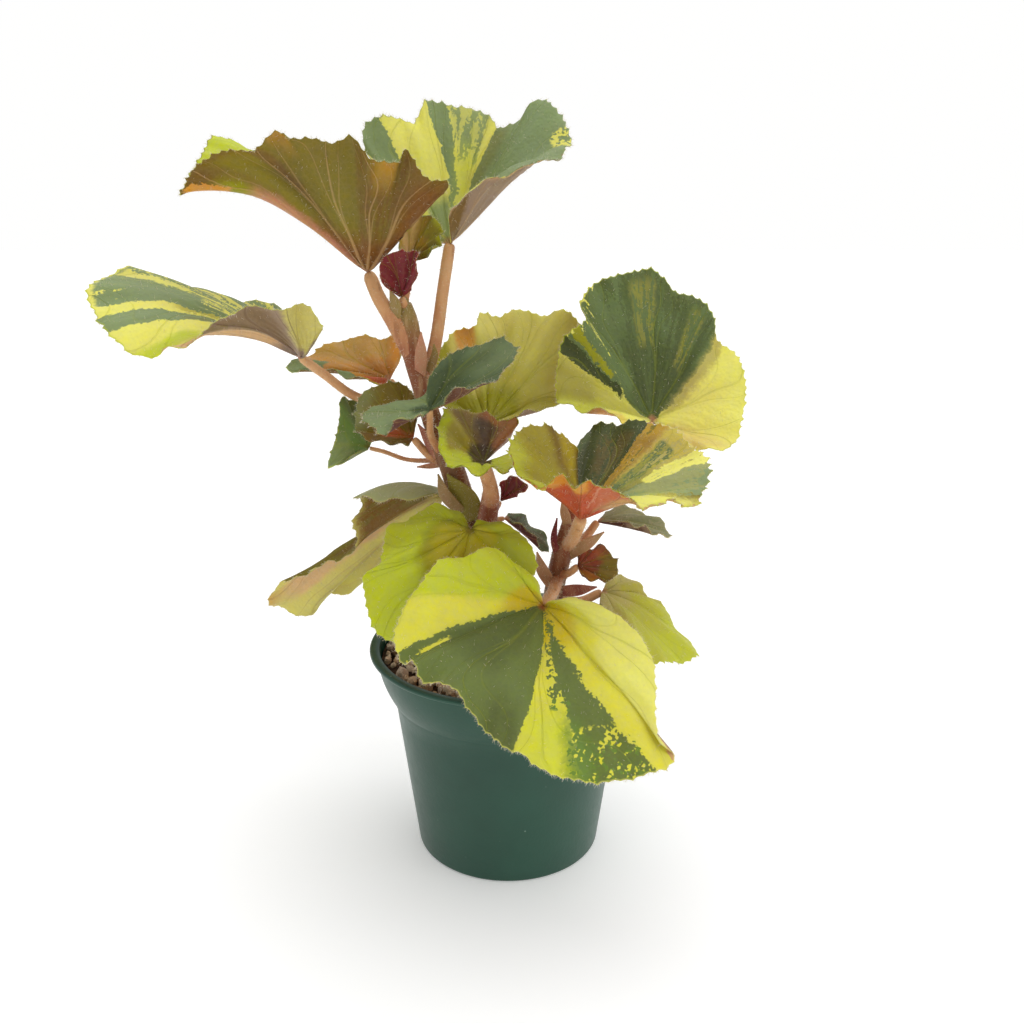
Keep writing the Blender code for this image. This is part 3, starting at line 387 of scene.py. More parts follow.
# How each blade is painted. A patch is (tissue, look, where it starts and ends on the margin
# as point numbers, each near the joint and at the margin, and its first and last reach from
# the joint). "lower" is the underside, "rim" the colour along the margin, and "vein" that of
# the veins underneath.
PAINT = {
    "leaf_top_left": dict(
        ground="lime", patches=[
            ("sage", "streaks", 2, 2, 4, 4, 0.2, 1),
            ("leaf_yellow", "soft", 8, 8, 14, 14, 0.3, 1.1)],
        lower="brown", lower_patches=[
            ("olive", "soft", 10.4, 10.4, 14, 14, 0.25, 1.1),
            ("olive", "hint", 14, 14, 17.5, 17.5, 0.35, 1.1),
            ("moss", "faint", 8, 8, 9.7, 9.7, 0.3, 0.95),
            ("dark_brown", "faint", 8.8, 8.8, 10.4, 10.4, 0.1, 0.8),
            ("red_brown", "faint", 17.8, 18, 21, 21, 0.0, 0.9),
            ("red_brown", "faint", -1, -1, 22, 22, -0.1, 0.34),
            ("orange", "faint", 15.2, 15.2, 16.0, 15.9, 0.88, 1.0),
            ("amber", "faint", 14.8, 14.9, 16.2, 16.1, 0.76, 1.0),
            ("orange", "faint", 10.7, 10.7, 11.5, 11.6, 0.88, 1.1),
            ("moss", "soft", 6.6, 6.8, 7.8, 7.8, 0.55, 0.84),
            ("pink", "soft", 6.2, 6.4, 8.0, 7.9, 0.06, 0.66),
            ("orange", "solid", 6.9, 7.0, 7.5, 7.45, 0.76, 0.985)],
        rim="olive", vein="tan"),
    "leaf_top_right": dict(
        ground="straw", patches=[
            ("sage", "solid", 2.2, 2.3, 4.3, 4.45, 0.35, 1.1),
            ("sage", "soft", 4.0, 4.4, 8.6, 7.2, -0.1, 0.34),
            ("sage", "soft", -1, -1, 1.6, 2.2, 0.0, 1.1),
            ("olive", "faint", -1, -1, 2.2, 2.2, 0.0, 0.6),
            ("sage", "solid", 8.5, 6.85, 8.8, 7.75, 0.0, 1.1),
            ("sage", "faint", 8.7, 7.7, 9.2, 9.3, 0.72, 1.1),
            ("sage", "islands", 8.7, 7.7, 9.2, 9.2, 0.6, 1.1),
            ("lime", "faint", 8.5, 7.9, 9.3, 9.3, 0.1, 0.7),
            ("sage", "solid", 9.2, 9.85, 17.4, 16.6, 0.0, 1.1),
            ("olive", "faint", 9.2, 9.8, 10.4, 10.8, 0.4, 0.98),
            ("straw", "blocks", 13.2, 13.3, 14.4, 14.2, 0.84, 1.1)],
        lower="mauve", lower_patches=[
            ("brown", "soft", 17.4, 17.8, 21, 21, -0.1, 0.92),
            ("olive", "faint", -1, -1, 3, 2, 0.0, 0.9),
            ("tan", "soft", 15.2, 15.4, 19, 19, 0.93, 1.1)],
        rim="sage", vein="tan"),
    "leaf_far_left": dict(
        ground="straw", patches=[
            ("lime", "soft", 6.4, 6.8, 8.2, 8.4, 0.7, 1.1),
            ("khaki", "faint", 0, 0, 7, 7, 0.0, 1.1),
            ("sage", "solid", 8.95, 9.1, 9.8, 9.8, 0.1, 1.0),
            ("olive", "hint", 9.0, 9.0, 10.3, 10.3, 0.28, 0.62),
            ("sage", "solid", 10.15, 10.2, 10.5, 10.4, 0.1, 0.97),
            ("sage", "streaks", 10.4, 10.4, 10.9, 11.0, 0.1, 0.97),
            ("sage", "solid", 10.9, 11.0, 11.3, 11.5, 0.4, 0.98),
            ("sage", "streaks", 11.3, 11.5, 12.4, 12.4, 0.1, 0.98),
            ("sage", "solid", 12.0, 12.2, 16.6, 16.6, 0.05, 0.98),
            ("straw", "islands", 10.9, 11.0, 13.4, 13.4, 0.05, 0.5),
            ("straw", "islands", 11.4, 11.6, 15.4, 15.2, 0.45, 0.96)],
        lower="mauve", lower_patches=[
            ("brown", "faint", 3.0, 3.2, 5.4, 5.2, 0.2, 0.95),
            ("light_khaki", "soft", 0.4, 0.4, 2.9, 2.7, 0.3, 1.1),
            ("olive", "hint", 4.6, 5.0, 6.6, 6.4, 0.5, 1.0),
            ("peach", "soft", 5.4, 5.5, 8, 8, 0.2, 1.1)],
        rim="lime", vein="plum"),
    "leaf_orange": dict(
        ground="orange", patches=[
            ("red_brown", "faint", -1, -1, 12, 12, -0.1, 0.4),
            ("khaki", "faint", 1.5, 1.8, 5.2, 5.0, 0.5, 1.1),
            ("tan", "hint", 2, 2, 8, 8, 0.3, 0.9),
            ("red", "soft", 9.4, 9.2, 12, 12, 0.1, 0.9),
            ("sage", "solid", 5.3, 5.4, 9.4, 9.0, 0.66, 1.1)],
        lower="brown", lower_patches=[("orange", "soft", 0, 1, 4, 3.5, 0.2, 1.1)],
        rim="lime", vein="tan"),
    "leaf_small_left": dict(
        ground="leaf_green", patches=[
            ("green", "faint", 2, 2, 4.2, 4.2, 0.1, 0.9),
            ("forest", "soft", 1.5, 1.5, 3.2, 3.2, 0.1, 1.1),
            ("light_sage", "faint", 4.2, 4.2, 7, 7, 0.5, 1.1)],
        lower="sage", lower_patches=[("green", "soft", 1, 1, 6, 6, 0.3, 1.1)],
        rim="lime", vein="khaki", joint="olive"),
    "leaf_centre": dict(
        ground="fern", patches=[
            # The two sage patches of this blade are painted highlight: the pale bluish sheen of
            # its hairs along the upper edges and near the fold.
            ("sage", "soft", 9.6, 9.6, 17, 17, 0.3, 1.1),
            ("sage", "faint", 4.4, 4.4, 7.2, 7.2, 0.5, 0.98),
            ("deep_green", "faint", 5.8, 5.8, 9.4, 9.4, 0.05, 0.8)],
        lower="plum", lower_patches=[("red_brown", "soft", 8, 8, 14, 14, 0.1, 1.1)],
        rim="khaki", vein="tan", joint="fern"),
    "leaf_centre_back": dict(
        ground="brown", patches=[
            ("olive", "faint", 1.6, 1.6, 5.4, 5.4, 0.35, 1.1),
            ("red", "soft", 4.6, 4.6, 6.4, 6.4, 0.05, 0.6),
            ("sage", "faint", 3.2, 3.2, 5.4, 5.4, 0.8, 1.1)],
        lower="red_brown", lower_patches=[
            ("red", "soft", 4.2, 4.2, 9, 9, 0.1, 0.9),
            ("olive", "hint", 2, 2, 4.5, 4.5, 0.4, 1.1)],
        rim="sage", vein="red", joint="red"),
    "leaf_back": dict(
        ground="light_khaki", patches=[
            ("leaf_yellow", "soft", 8.6, 8.8, 17, 17, 0.2, 1.1),
            ("light_khaki", "faint", 6, 6, 14, 14, 0.5, 1.1),
            ("moss", "soft", -1, -1, 4.4, 4.2, 0.1, 1.0),
            ("moss", "faint", 5.2, 5.4, 9.0, 9.0, 0.0, 0.8),
            ("orange", "soft", 4.6, 4.7, 6.1, 5.9, 0.76, 1.1),
            ("red_brown", "faint", 4.8, 4.9, 6.0, 5.9, 0.86, 1.1),
            ("moss", "soft", -1, -1, 18, 18, -0.1, 0.32)],
        lower="mauve", lower_patches=[], rim="lime", vein="tan", joint="olive"),
    "leaf_cup_middle": dict(
        ground="mustard", patches=[
            ("khaki", "faint", 2.6, 2.8, 6, 6, 0.6, 1.1),
            ("brown", "soft", 2.4, 2.6, 4.4, 4.2, 0.0, 0.95),
            ("red_brown", "soft", -1, -1, 3.0, 2.8, 0.3, 1.0),
            ("dark_brown", "soft", 1.6, 1.8, 3.4, 3.2, 0.0, 0.8),
            ("dark_brown", "soft", -1, -1, 14, 14, -0.1, 0.34),
            ("lime", "soft", 6.4, 6.6, 13, 12.6, 0.3, 1.1),
            ("lime", "soft", 4.6, 4.8, 7, 7, 0.8, 1.1)],
        lower="leaf_yellow", lower_patches=[
            ("lime", "soft", 5, 5, 11, 11, 0.3, 1.1),
            ("brown", "faint", -1, -1, 14, 14, -0.1, 0.6)],
        rim="lime", vein="tan", joint="dark_brown"),
    "leaf_right": dict(
        ground="straw", patches=[
            ("leaf_yellow", "soft", 1.4, 1.6, 5.6, 5.7, 0.1, 1.1),
            ("lime", "faint", 1.4, 1.6, 4.2, 4.2, 0.5, 1.1),
            ("olive", "faint", 4.0, 4.1, 5.4, 5.4, 0.6, 1.0),
            ("forest", "solid", 4.7, 8.9, 16.0, 14.85, -0.1, 1.1),
            ("deep_green", "faint", 5, 8.8, 16, 15, -0.1, 0.6),
            ("deep_green", "hint", 8.8, 8.9, 14.8, 14.6, 0.1, 1.1),
            ("leaf_yellow", "hint", 9.8, 9.9, 11.0, 11.0, 0.5, 0.92),
            ("leaf_yellow", "hint", 13.0, 13.1, 14.0, 13.8, 0.45, 0.9),
            ("deep_green", "solid", 5.6, 5.62, 6.2, 6.1, 0.35, 1.0),
            ("forest", "streaks", 6.1, 6.1, 7.2, 7.4, 0.3, 1.0),
            ("moss", "streaks", 6.2, 6.2, 6.6, 6.5, 0.5, 1.1),
            ("forest", "streaks", 7.0, 7.2, 8.7, 8.7, 0.3, 0.99),
            ("khaki", "soft", 15.8, 14.75, 16.8, 15.3, 0.15, 1.1),
            ("orange", "faint", -1, -1, 1.6, 1.4, 0.7, 1.1),
            ("tan", "faint", 18.8, 19.2, 22, 22, 0.2, 0.95)],
        lower="mauve", lower_patches=[("orange", "soft", -1, -1, 3.2, 3.0, 0.1, 1.1)],
        rim="lime", vein="tan"),
    "leaf_cup_right": dict(
        ground="olive", patches=[
            ("mustard", "soft", 1.8, 1.9, 7.4, 7.2, 0.05, 1.1),
            ("lime", "faint", 3.4, 3.4, 11, 11, 0.78, 1.1),
            ("brown", "soft", -1, -1, 2.2, 2.1, 0.05, 1.1),
            ("gold", "faint", 0.5, 0.6, 1.7, 1.6, 0.35, 1.1),
            ("deep_green", "solid", 18.3, 18.0, 23, 23, 0.0, 1.1),
            ("brown", "hint", 18.5, 18.6, 20.4, 20.2, 0.15, 0.85),
            ("forest", "soft", 20.6, 20.8, 22.2, 22, 0.84, 1.1),
            ("amber", "streaks", 16.9, 17.0, 18.5, 18.2, 0.05, 1.0),
            ("brown", "hint", 17.3, 17.3, 18.5, 18.2, 0.1, 0.85),
            ("khaki", "soft", 15.4, 15.6, 17.3, 17.2, 0.35, 1.05),
            ("forest", "streaks", 16.3, 16.5, 17.2, 17.1, 0.15, 0.84),
            ("gold", "hint", 15.4, 15.6, 17.3, 17.2, 0.35, 1.0),
            ("forest", "faint", 14.2, 14.35, 17, 17, 0.0, 0.6),
            ("sage", "solid", 14.2, 14.35, 15.6, 15.5, 0.15, 1.05),
            ("khaki", "hint", 14.3, 14.4, 15.6, 15.4, 0.3, 1.0),
            ("straw", "streaks", 15.3, 15.3, 16.2, 16.1, 0.5, 1.1),
            ("straw", "soft", 10.8, 11, 14.2, 14.2, 0.5, 1.1),
            ("lime", "faint", 8.5, 8.5, 14.4, 14.4, 0.0, 0.6)],
        lower="red", lower_patches=[
            ("orange", "soft", 5.6, 5.8, 9.2, 9.0, 0.72, 1.1),
            ("pink", "faint", 9.6, 9.7, 11.5, 11.3, 0.3, 1.1),
            ("pink", "solid", 9.35, 9.5, 9.6, 9.65, 0.3, 1.0),
            ("tan", "soft", 10.9, 11, 16, 16, 0.2, 1.1)],
        rim="lime", vein="red_brown", joint="red"),
    "leaf_thin_right": dict(
        ground="sage", patches=[
            ("mauve", "faint", -1, -1, 10, 10, -0.1, 1.1),
            ("forest", "hint", 2.4, 2.4, 6.5, 6.5, 0.2, 0.95)],
        lower="mauve", lower_patches=[("plum", "soft", 5, 5, 10, 10, 0.1, 0.8)],
        rim="khaki", vein="plum"),
    "leaf_red_brown": dict(
        ground="red_brown", patches=[
            ("red", "faint", -1, -1, 4, 4, 0.1, 0.75),
            ("crimson", "faint", -1, -1, 9, 9, -0.1, 0.6),
            ("olive", "soft", 2.8, 3.0, 6.2, 6.2, 0.55, 1.1),
            ("orange", "faint", 6.6, 6.8, 9, 9, 0.4, 1.0)],
        lower="crimson", lower_patches=[], rim="brown", vein="crimson", joint="crimson"),
    "leaf_low_right": dict(
        ground="khaki", patches=[
            ("leaf_yellow", "soft", 2, 2, 9, 9, 0.3, 1.1),
            ("lime", "faint", 4.0, 4.2, 8.6, 8.4, 0.35, 1.1),
            ("lime", "faint", 5.0, 5.2, 7.6, 7.4, 0.65, 1.1)],
        lower="mauve", lower_patches=[], rim="lime", vein="tan"),
    "leaf_front": dict(
        ground="yellow", patches=[
            ("lime", "soft", -1, -1, 7.4, 7.6, 0.12, 1.1),
            ("pale", "soft", 21, 20.5, 28, 28, 0.5, 1.1),
            ("lime", "faint", 15.4, 15.4, 17.8, 17.8, 0.65, 1.1),
            ("gold", "soft", -1, -1, 28, 28, -0.1, 0.3),
            ("grey_green", "solid", 9.0, 9.5, 17.2, 15.3, -0.1, 1.1),
            ("deep_green", "faint", 9.5, 9.5, 15, 13, 0.0, 0.7),
            ("deep_green", "faint", 14.3, 14.0, 15.6, 15.3, 0.76, 1.1),
            ("yellow", "streaks", 9.75, 9.75, 10.1, 10.1, 0.66, 0.86),
            ("yellow", "flecks", 9.9, 9.9, 10.5, 10.4, 0.84, 0.98),
            ("grey_green", "solid", 17.45, 17.75, 18.05, 19.1, 0.1, 1.1),
            ("green", "flecks", 17.0, 17.1, 17.6, 17.8, 0.28, 0.66),
            ("grey_green", "flecks", 16.9, 17.0, 17.7, 17.8, 0.24, 0.6),
            ("green", "soft", 17.5, 17.5, 18.1, 18.0, 0.7, 1.1),
            ("green", "flecks", 17.5, 17.5, 19.1, 19.0, 0.8, 1.1),
            ("yellow", "specks", 17.6, 17.6, 19.0, 19.1, 0.74, 1.1),
            ("tan", "solid", 19.8, 19.8, 20.6, 20.6, 0.94, 1.1)],
        lower="mauve", lower_patches=[], rim="pale", vein="tan", joint="red"),
    "leaf_front_left": dict(
        ground="moss", patches=[
            ("lime", "faint", 0, 0, 19, 19, 0.5, 1.1),
            ("lime", "soft", 4.4, 4.8, 11.4, 11.4, 0.5, 1.1),
            ("dull_lime", "faint", 12.2, 12.2, 17, 17, 0.3, 1.1),
            ("gold", "faint", 3, 3, 18, 18, -0.1, 0.4)],
        lower="mauve", lower_patches=[], rim="lime", vein="tan", joint="brown"),
    "leaf_low_left": dict(
        ground="olive", patches=[
            ("light_sage", "soft", -1, -1, 4.4, 4.4, 0.0, 1.1),
            ("brown", "soft", 5, 5, 8, 8, 0.0, 0.9)],
        lower="light_khaki", lower_patches=[
            ("leaf_yellow", "faint", 11.4, 11.6, 17, 17, 0.4, 1.1),
            ("peach", "soft", 8.6, 8.6, 10.9, 10.9, 0.3, 0.9),
            ("brown", "soft", 4.3, 4.4, 8.0, 7.6, 0.12, 0.9),
            ("olive", "faint", 4.3, 4.4, 9.4, 9.0, 0.12, 0.97),
            ("red_brown", "hint", 4.6, 4.8, 7.6, 7.4, 0.2, 0.95),
            ("red", "faint", 9.7, 9.7, 10.5, 10.4, 0.93, 1.1),
            ("sage", "soft", -1, -1, 4.2, 4.3, 0.3, 1.1)],
        rim="khaki", vein="tan"),
    "leaf_young_crimson": dict(
        ground="crimson", patches=[("wine", "faint", -1, -1, 9, 9, 0.1, 1.1)],
        lower="crimson", lower_patches=[("pink", "hint", 1, 1, 4, 4, 0.2, 1.0)],
        rim="red", vein="red", joint="red_brown"),
    "leaf_young_lime": dict(
        ground="brown", patches=[
            ("tan", "soft", -1, -1, 2.4, 2.2, 0.2, 1.1),
            ("amber", "faint", 2.4, 2.4, 5, 5, 0.3, 0.9),
            ("olive", "soft", 3, 3, 6.8, 6.8, 0.6, 1.1),
            ("moss", "soft", 3.2, 3.2, 6.6, 6.6, 0.86, 1.1)],
        lower="brown", lower_patches=[
            ("tan", "soft", -1, -1, 2.4, 2.2, 0.2, 1.1),
            ("moss", "soft", 3, 3, 6.8, 6.8, 0.5, 1.1)],
        rim="sage", vein="orange", joint="red"),
    "leaf_young_purple": dict(
        ground="wine", patches=[("plum", "faint", 1, 1, 4, 4, 0.3, 1.1)],
        lower="wine", lower_patches=[], rim="pink", vein="pink", joint="wine"),
    "leaf_curled": dict(
        ground="fern", patches=[("plum", "hint", 0, 0, 8, 8, 0.1, 0.9)],
        lower="plum", lower_patches=[], rim="khaki", vein="pink"),
}
YOUNG_BLADES = ("leaf_young_crimson", "leaf_young_purple", "leaf_red_brown")

# Stems: points as (across, down, depth, radius).
CANE_LEFT = [(474, 560, 0, 3.8), (468, 520, 0, 4.0), (452, 468, 0, 3.8), (436, 430, 1, 3.3),
             (424, 395, 2, 2.9), (414, 360, 4, 3.1), (407, 325, 6, 3.7), (402, 304, 6, 2.9)]
CANE_RIGHT = [(552, 605, -2, 3.2), (557, 575, -3, 3.2), (563, 550, -5, 3.2),
              (570, 525, -7, 2.8), (570, 508, -7, 1.6)]
LEFT_SHOOT = [(476, 600, -1, 2.6), (482, 550, -5, 3.0), (488, 515, -7, 3.1),
              (491, 492, -9, 2.6)]
LEFT_STALKS = {
    "leaf_top_left": [(416, 368, 4, 2.2), (395, 325, 3, 2.4), (379, 298, 4, 2.2)],
    "leaf_top_right": [(423, 385, 3, 2.1), (435, 345, 6, 2.0), (443, 290, 10, 1.9)],
    "leaf_far_left": [(431, 422, 3, 1.8), (425, 412, 13, 1.6), (405, 408, 19, 1.5),
                      (357, 397, 21, 1.5), (325, 375, 18, 1.5)],
    "leaf_orange": [(424, 396, 4, 1.2), (412, 396, 14, 1.1), (400, 392, 19, 1.0)],
    "leaf_small_left": [(448, 460, 2, 1.0), (410, 460, 12, 0.8), (385, 452, 17, 0.8)],
    "leaf_centre": [(440, 452, -1, 1.3), (431, 436, -5, 1.2), (430, 420, -7, 1.1)],
    "leaf_centre_back": [(446, 464, 0, 1.3), (430, 456, 1, 1.3)],
    "leaf_back": [(446, 455, 2, 1.5), (468, 452, 12, 1.3), (482, 440, 17, 1.2)],
    "leaf_front_left": [(472, 545, 0, 1.8), (471, 545, -10, 1.6), (470, 538, -18, 1.4)],
    "leaf_low_left": [(464, 508, 2, 1.6), (453, 500, 6, 1.4)],
    "leaf_young_crimson": [(402, 314, 6, 1.6), (403, 305, 4, 1.4)],
    "leaf_young_lime": [(404, 308, 7, 1.2), (408, 285, 10, 1.0)],
    "leaf_cup_middle": [(491, 500, -9, 2.8), (490, 486, -11, 2.3)],
    "leaf_young_purple": [(487, 519, -6, 1.0), (495, 510, -7, 0.9)],
    "leaf_curled": [(483, 532, -5, 1.1), (494, 521, -5, 0.9)],
}
RIGHT_STALKS = {
    "leaf_front": [(557, 580, -3, 2.2), (553, 592, -18, 1.9)],
    "leaf_cup_right": [(568, 545, -6, 2.2), (573, 538, -20, 2.0)],
    "leaf_thin_right": [(566, 548, -4, 1.6), (585, 537, 3, 1.4)],
    "leaf_right": [(572, 525, -6, 1.6), (600, 490, 12, 1.5), (640, 446, 23, 1.4)],
    "leaf_red_brown": [(560, 576, -4, 1.3), (569, 573, -9, 1.2)],
    "leaf_low_right": [(555, 600, -2, 1.8), (580, 601, 5, 1.5)],
}
# Stipules: base, middle and tip as (across, down, depth), half the width, and the tone, from
# 0 for olive through 0.5 for tan to 1 for crimson.
LEFT_STIPULES = [
    ((420, 380, 2), (421, 355, -2), (421, 332, -3), 1.9, 0.7),
    ((425, 378, 3), (434, 358, 1), (434, 344, 1), 1.2, 0.3),
    ((444, 464, 0), (430, 466, 2), (417, 467, 3), 1.0, 0.7),
    ((442, 462, -1), (431, 443, -1), (418, 424, -1), 2.2, 0.85),
    ((474, 520, -6), (463, 498, -6), (447, 474, -5), 4.6, 0.08),
    ((466, 516, -5), (446, 496, -6), (438, 474, -5), 2.2, 0.4),
    ((396, 318, 2), (395, 304, 1), (390, 290, 1), 1.8, 0.35),
]
RIGHT_STIPULES = [
    ((560, 564, -4), (554, 540, -9), (557, 518, -9), 1.1, 1.0),
    ((554, 590, -4), (543, 571, -8), (537, 552, -9), 2.1, 0.6),
    ((566, 558, -5), (587, 544, -12), (604, 532, -14), 1.9, 0.5),
    ((570, 534, -7), (565, 514, -11), (562, 501, -12), 1.5, 0.5),
    ((556, 592, -3), (577, 590, -6), (597, 587, -8), 2.3, 0.9),
]


def seen(across, down, depth):
    """The point at this depth that is seen at a place in the photograph."""
    right = (across - PICTURE_MIDDLE) / FOCAL_PIXELS
    up = (PICTURE_MIDDLE - down) / FOCAL_PIXELS
    reach = (depth - EYE[1]) / (math.cos(LOOK_DOWN) + up * math.sin(LOOK_DOWN))
    height = EYE[2] + reach * (up * math.cos(LOOK_DOWN) - math.sin(LOOK_DOWN))
    return np.array([EYE[0] + reach * right, depth, height])


def sight_row(points):
    """Points as (across, down, depth, value) turned to (x, y, z, value)."""
    return [np.append(seen(*point[:3]), point[3]) for point in points]


def smooth_row(rows, steps):
    """A smooth curve that passes through the rows, with so many steps between two of them."""
    rows = np.asarray(rows, float)
    last = len(rows) - 1
    ends = np.vstack([2 * rows[0] - rows[1], rows, 2 * rows[-1] - rows[-2]])
    place = np.linspace(0, last, last * steps + 1)
    first = np.minimum(place.astype(int), last - 1)
    f = (place - first)[:, None]
    a, b, c, d = (ends[first + k] for k in range(4))
    return 0.5 * (2 * b + (c - a) * f + (2 * a - 5 * b + 4 * c - d) * f**2
                  + (3 * b - a - 3 * c + d) * f**3)


def unit(v):
    """Vectors drawn out to a length of 1."""
    return v / np.maximum(np.linalg.norm(v, axis=-1, keepdims=True), 1e-9)


def averaged(rows, width):
    """The rows, each one averaged with its neighbours, and the two ends kept."""
    width = min(width, (len(rows) - 1) // 2)
    kernel = np.hanning(2 * width + 3)[1:-1]
    kernel /= kernel.sum()
    before = 2 * rows[0] - rows[width:0:-1]
    after = 2 * rows[-1] - rows[-2:-width - 2:-1]
    padded = np.vstack([before, rows, after])
    return np.stack([np.convolve(column, kernel, "valid") for column in padded.T], 1)


def at_columns(values, place):
    """Values along the margin, read at fractional places."""
    first = np.minimum(place.astype(int), len(values) - 2)
    f = (place - first).reshape(-1, *[1] * (values.ndim - 1))
    return values[first] * (1 - f) + values[first + 1] * f


def even_places(line, spacing, multiple):
    """Places along a line that lie evenly apart, a whole number of times the multiple."""
    length = np.concatenate([[0], np.cumsum(np.linalg.norm(np.diff(line, axis=0), axis=1))])
    count = multiple * max(3, round(length[-1] / spacing / multiple))
    wanted = np.linspace(0, length[-1], count + 1)
    return np.interp(wanted, length, np.arange(len(line))), length[-1]


def new_object(name, data):
    """A new object in the scene."""
    thing = bpy.data.objects.new(name, data)
    bpy.context.scene.collection.objects.link(thing)
    return thing


def new_piece(name, points, faces):
    """A mesh object with smooth shading, from points in millimetres, at the origin."""
    mesh = bpy.data.meshes.new(name)
    mesh.from_pydata((np.asarray(points) * MM).tolist(), [], faces)
    mesh.polygons.foreach_set("use_smooth", [True] * len(mesh.polygons))
    return new_object(name, mesh)


def plain_mesh(thing):
    """The thing's mesh, with what its modifiers do to it."""
    graph = bpy.context.evaluated_depsgraph_get()
    return bpy.data.meshes.new_from_object(thing.evaluated_get(graph), depsgraph=graph)


def with_material(thing, material):
    thing.data.materials.clear()
    thing.data.materials.append(material)
    return thing


def join(name, pieces):
    """One object from several, with the first one's name changed."""
    with bpy.context.temp_override(active_object=pieces[0], object=pieces[0],
                                   selected_editable_objects=pieces, selected_objects=pieces):
        bpy.ops.object.join()
    pieces[0].name = name
    pieces[0].data.name = name
    return pieces[0]


def write_values(mesh, domain, name, values):
    """An attribute with one number for each point or face."""
    attribute = mesh.attributes.new(name, "FLOAT", domain)
    attribute.data.foreach_set("value", np.asarray(values, float))


def settle(piece, slot_name, *nodes):
    """The piece moves with the plant and stands for the nodes; slot_name is not used."""
    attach(piece, "root")
    if nodes:
        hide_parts(*nodes)
    return piece


def tooth_depths(count, small):
    """How far each column of the margin is cut in, as teeth of uneven size.

    small is 1 for a blade of full size and less for a young one, whose teeth are longer
    for its size.
    """
    column = np.arange(count)
    tooth = column // len(TOOTH)
    uneven = np.abs(np.sin(tooth * 2.4 + np.sin(tooth * 0.7)))
    size = SMALLEST_TOOTH + (1 - SMALLEST_TOOTH) * uneven
    size *= np.where(tooth % 2 == 0, 1.0, SECOND_TOOTH)
    height = np.array(TOOTH)[column % len(TOOTH)] * size
    length = TOOTH_LENGTH * min(1.3 - 0.5 * small, 2.2 * small)
    return length * (1 - height)


def ring_reaches():
    """Reaches of the rings from the joint to the margin, closer together at the margin."""
    inner = INNER_REACH * np.linspace(0, 1, INNER_RINGS + 1)[1:] ** INNER_CROWDING
    return np.concatenate([inner, EDGE_RINGS])


def margin_line(spec, joint):
    """The margin as a smooth row of (x, y, z, arch), always the same way round.

    The second result says how far each place has come from the first of the blade's points.
    """
    row = smooth_row(sight_row(spec["margin"]), FINE_STEPS)
    number = np.linspace(0, 1, len(row))
    turn = np.cross(row[:-1, :3] - joint, row[1:, :3] - joint).sum(0)
    if turn @ UPPER_SIDE_WAY < 0:
        return row[::-1], number[::-1]
    return row, number


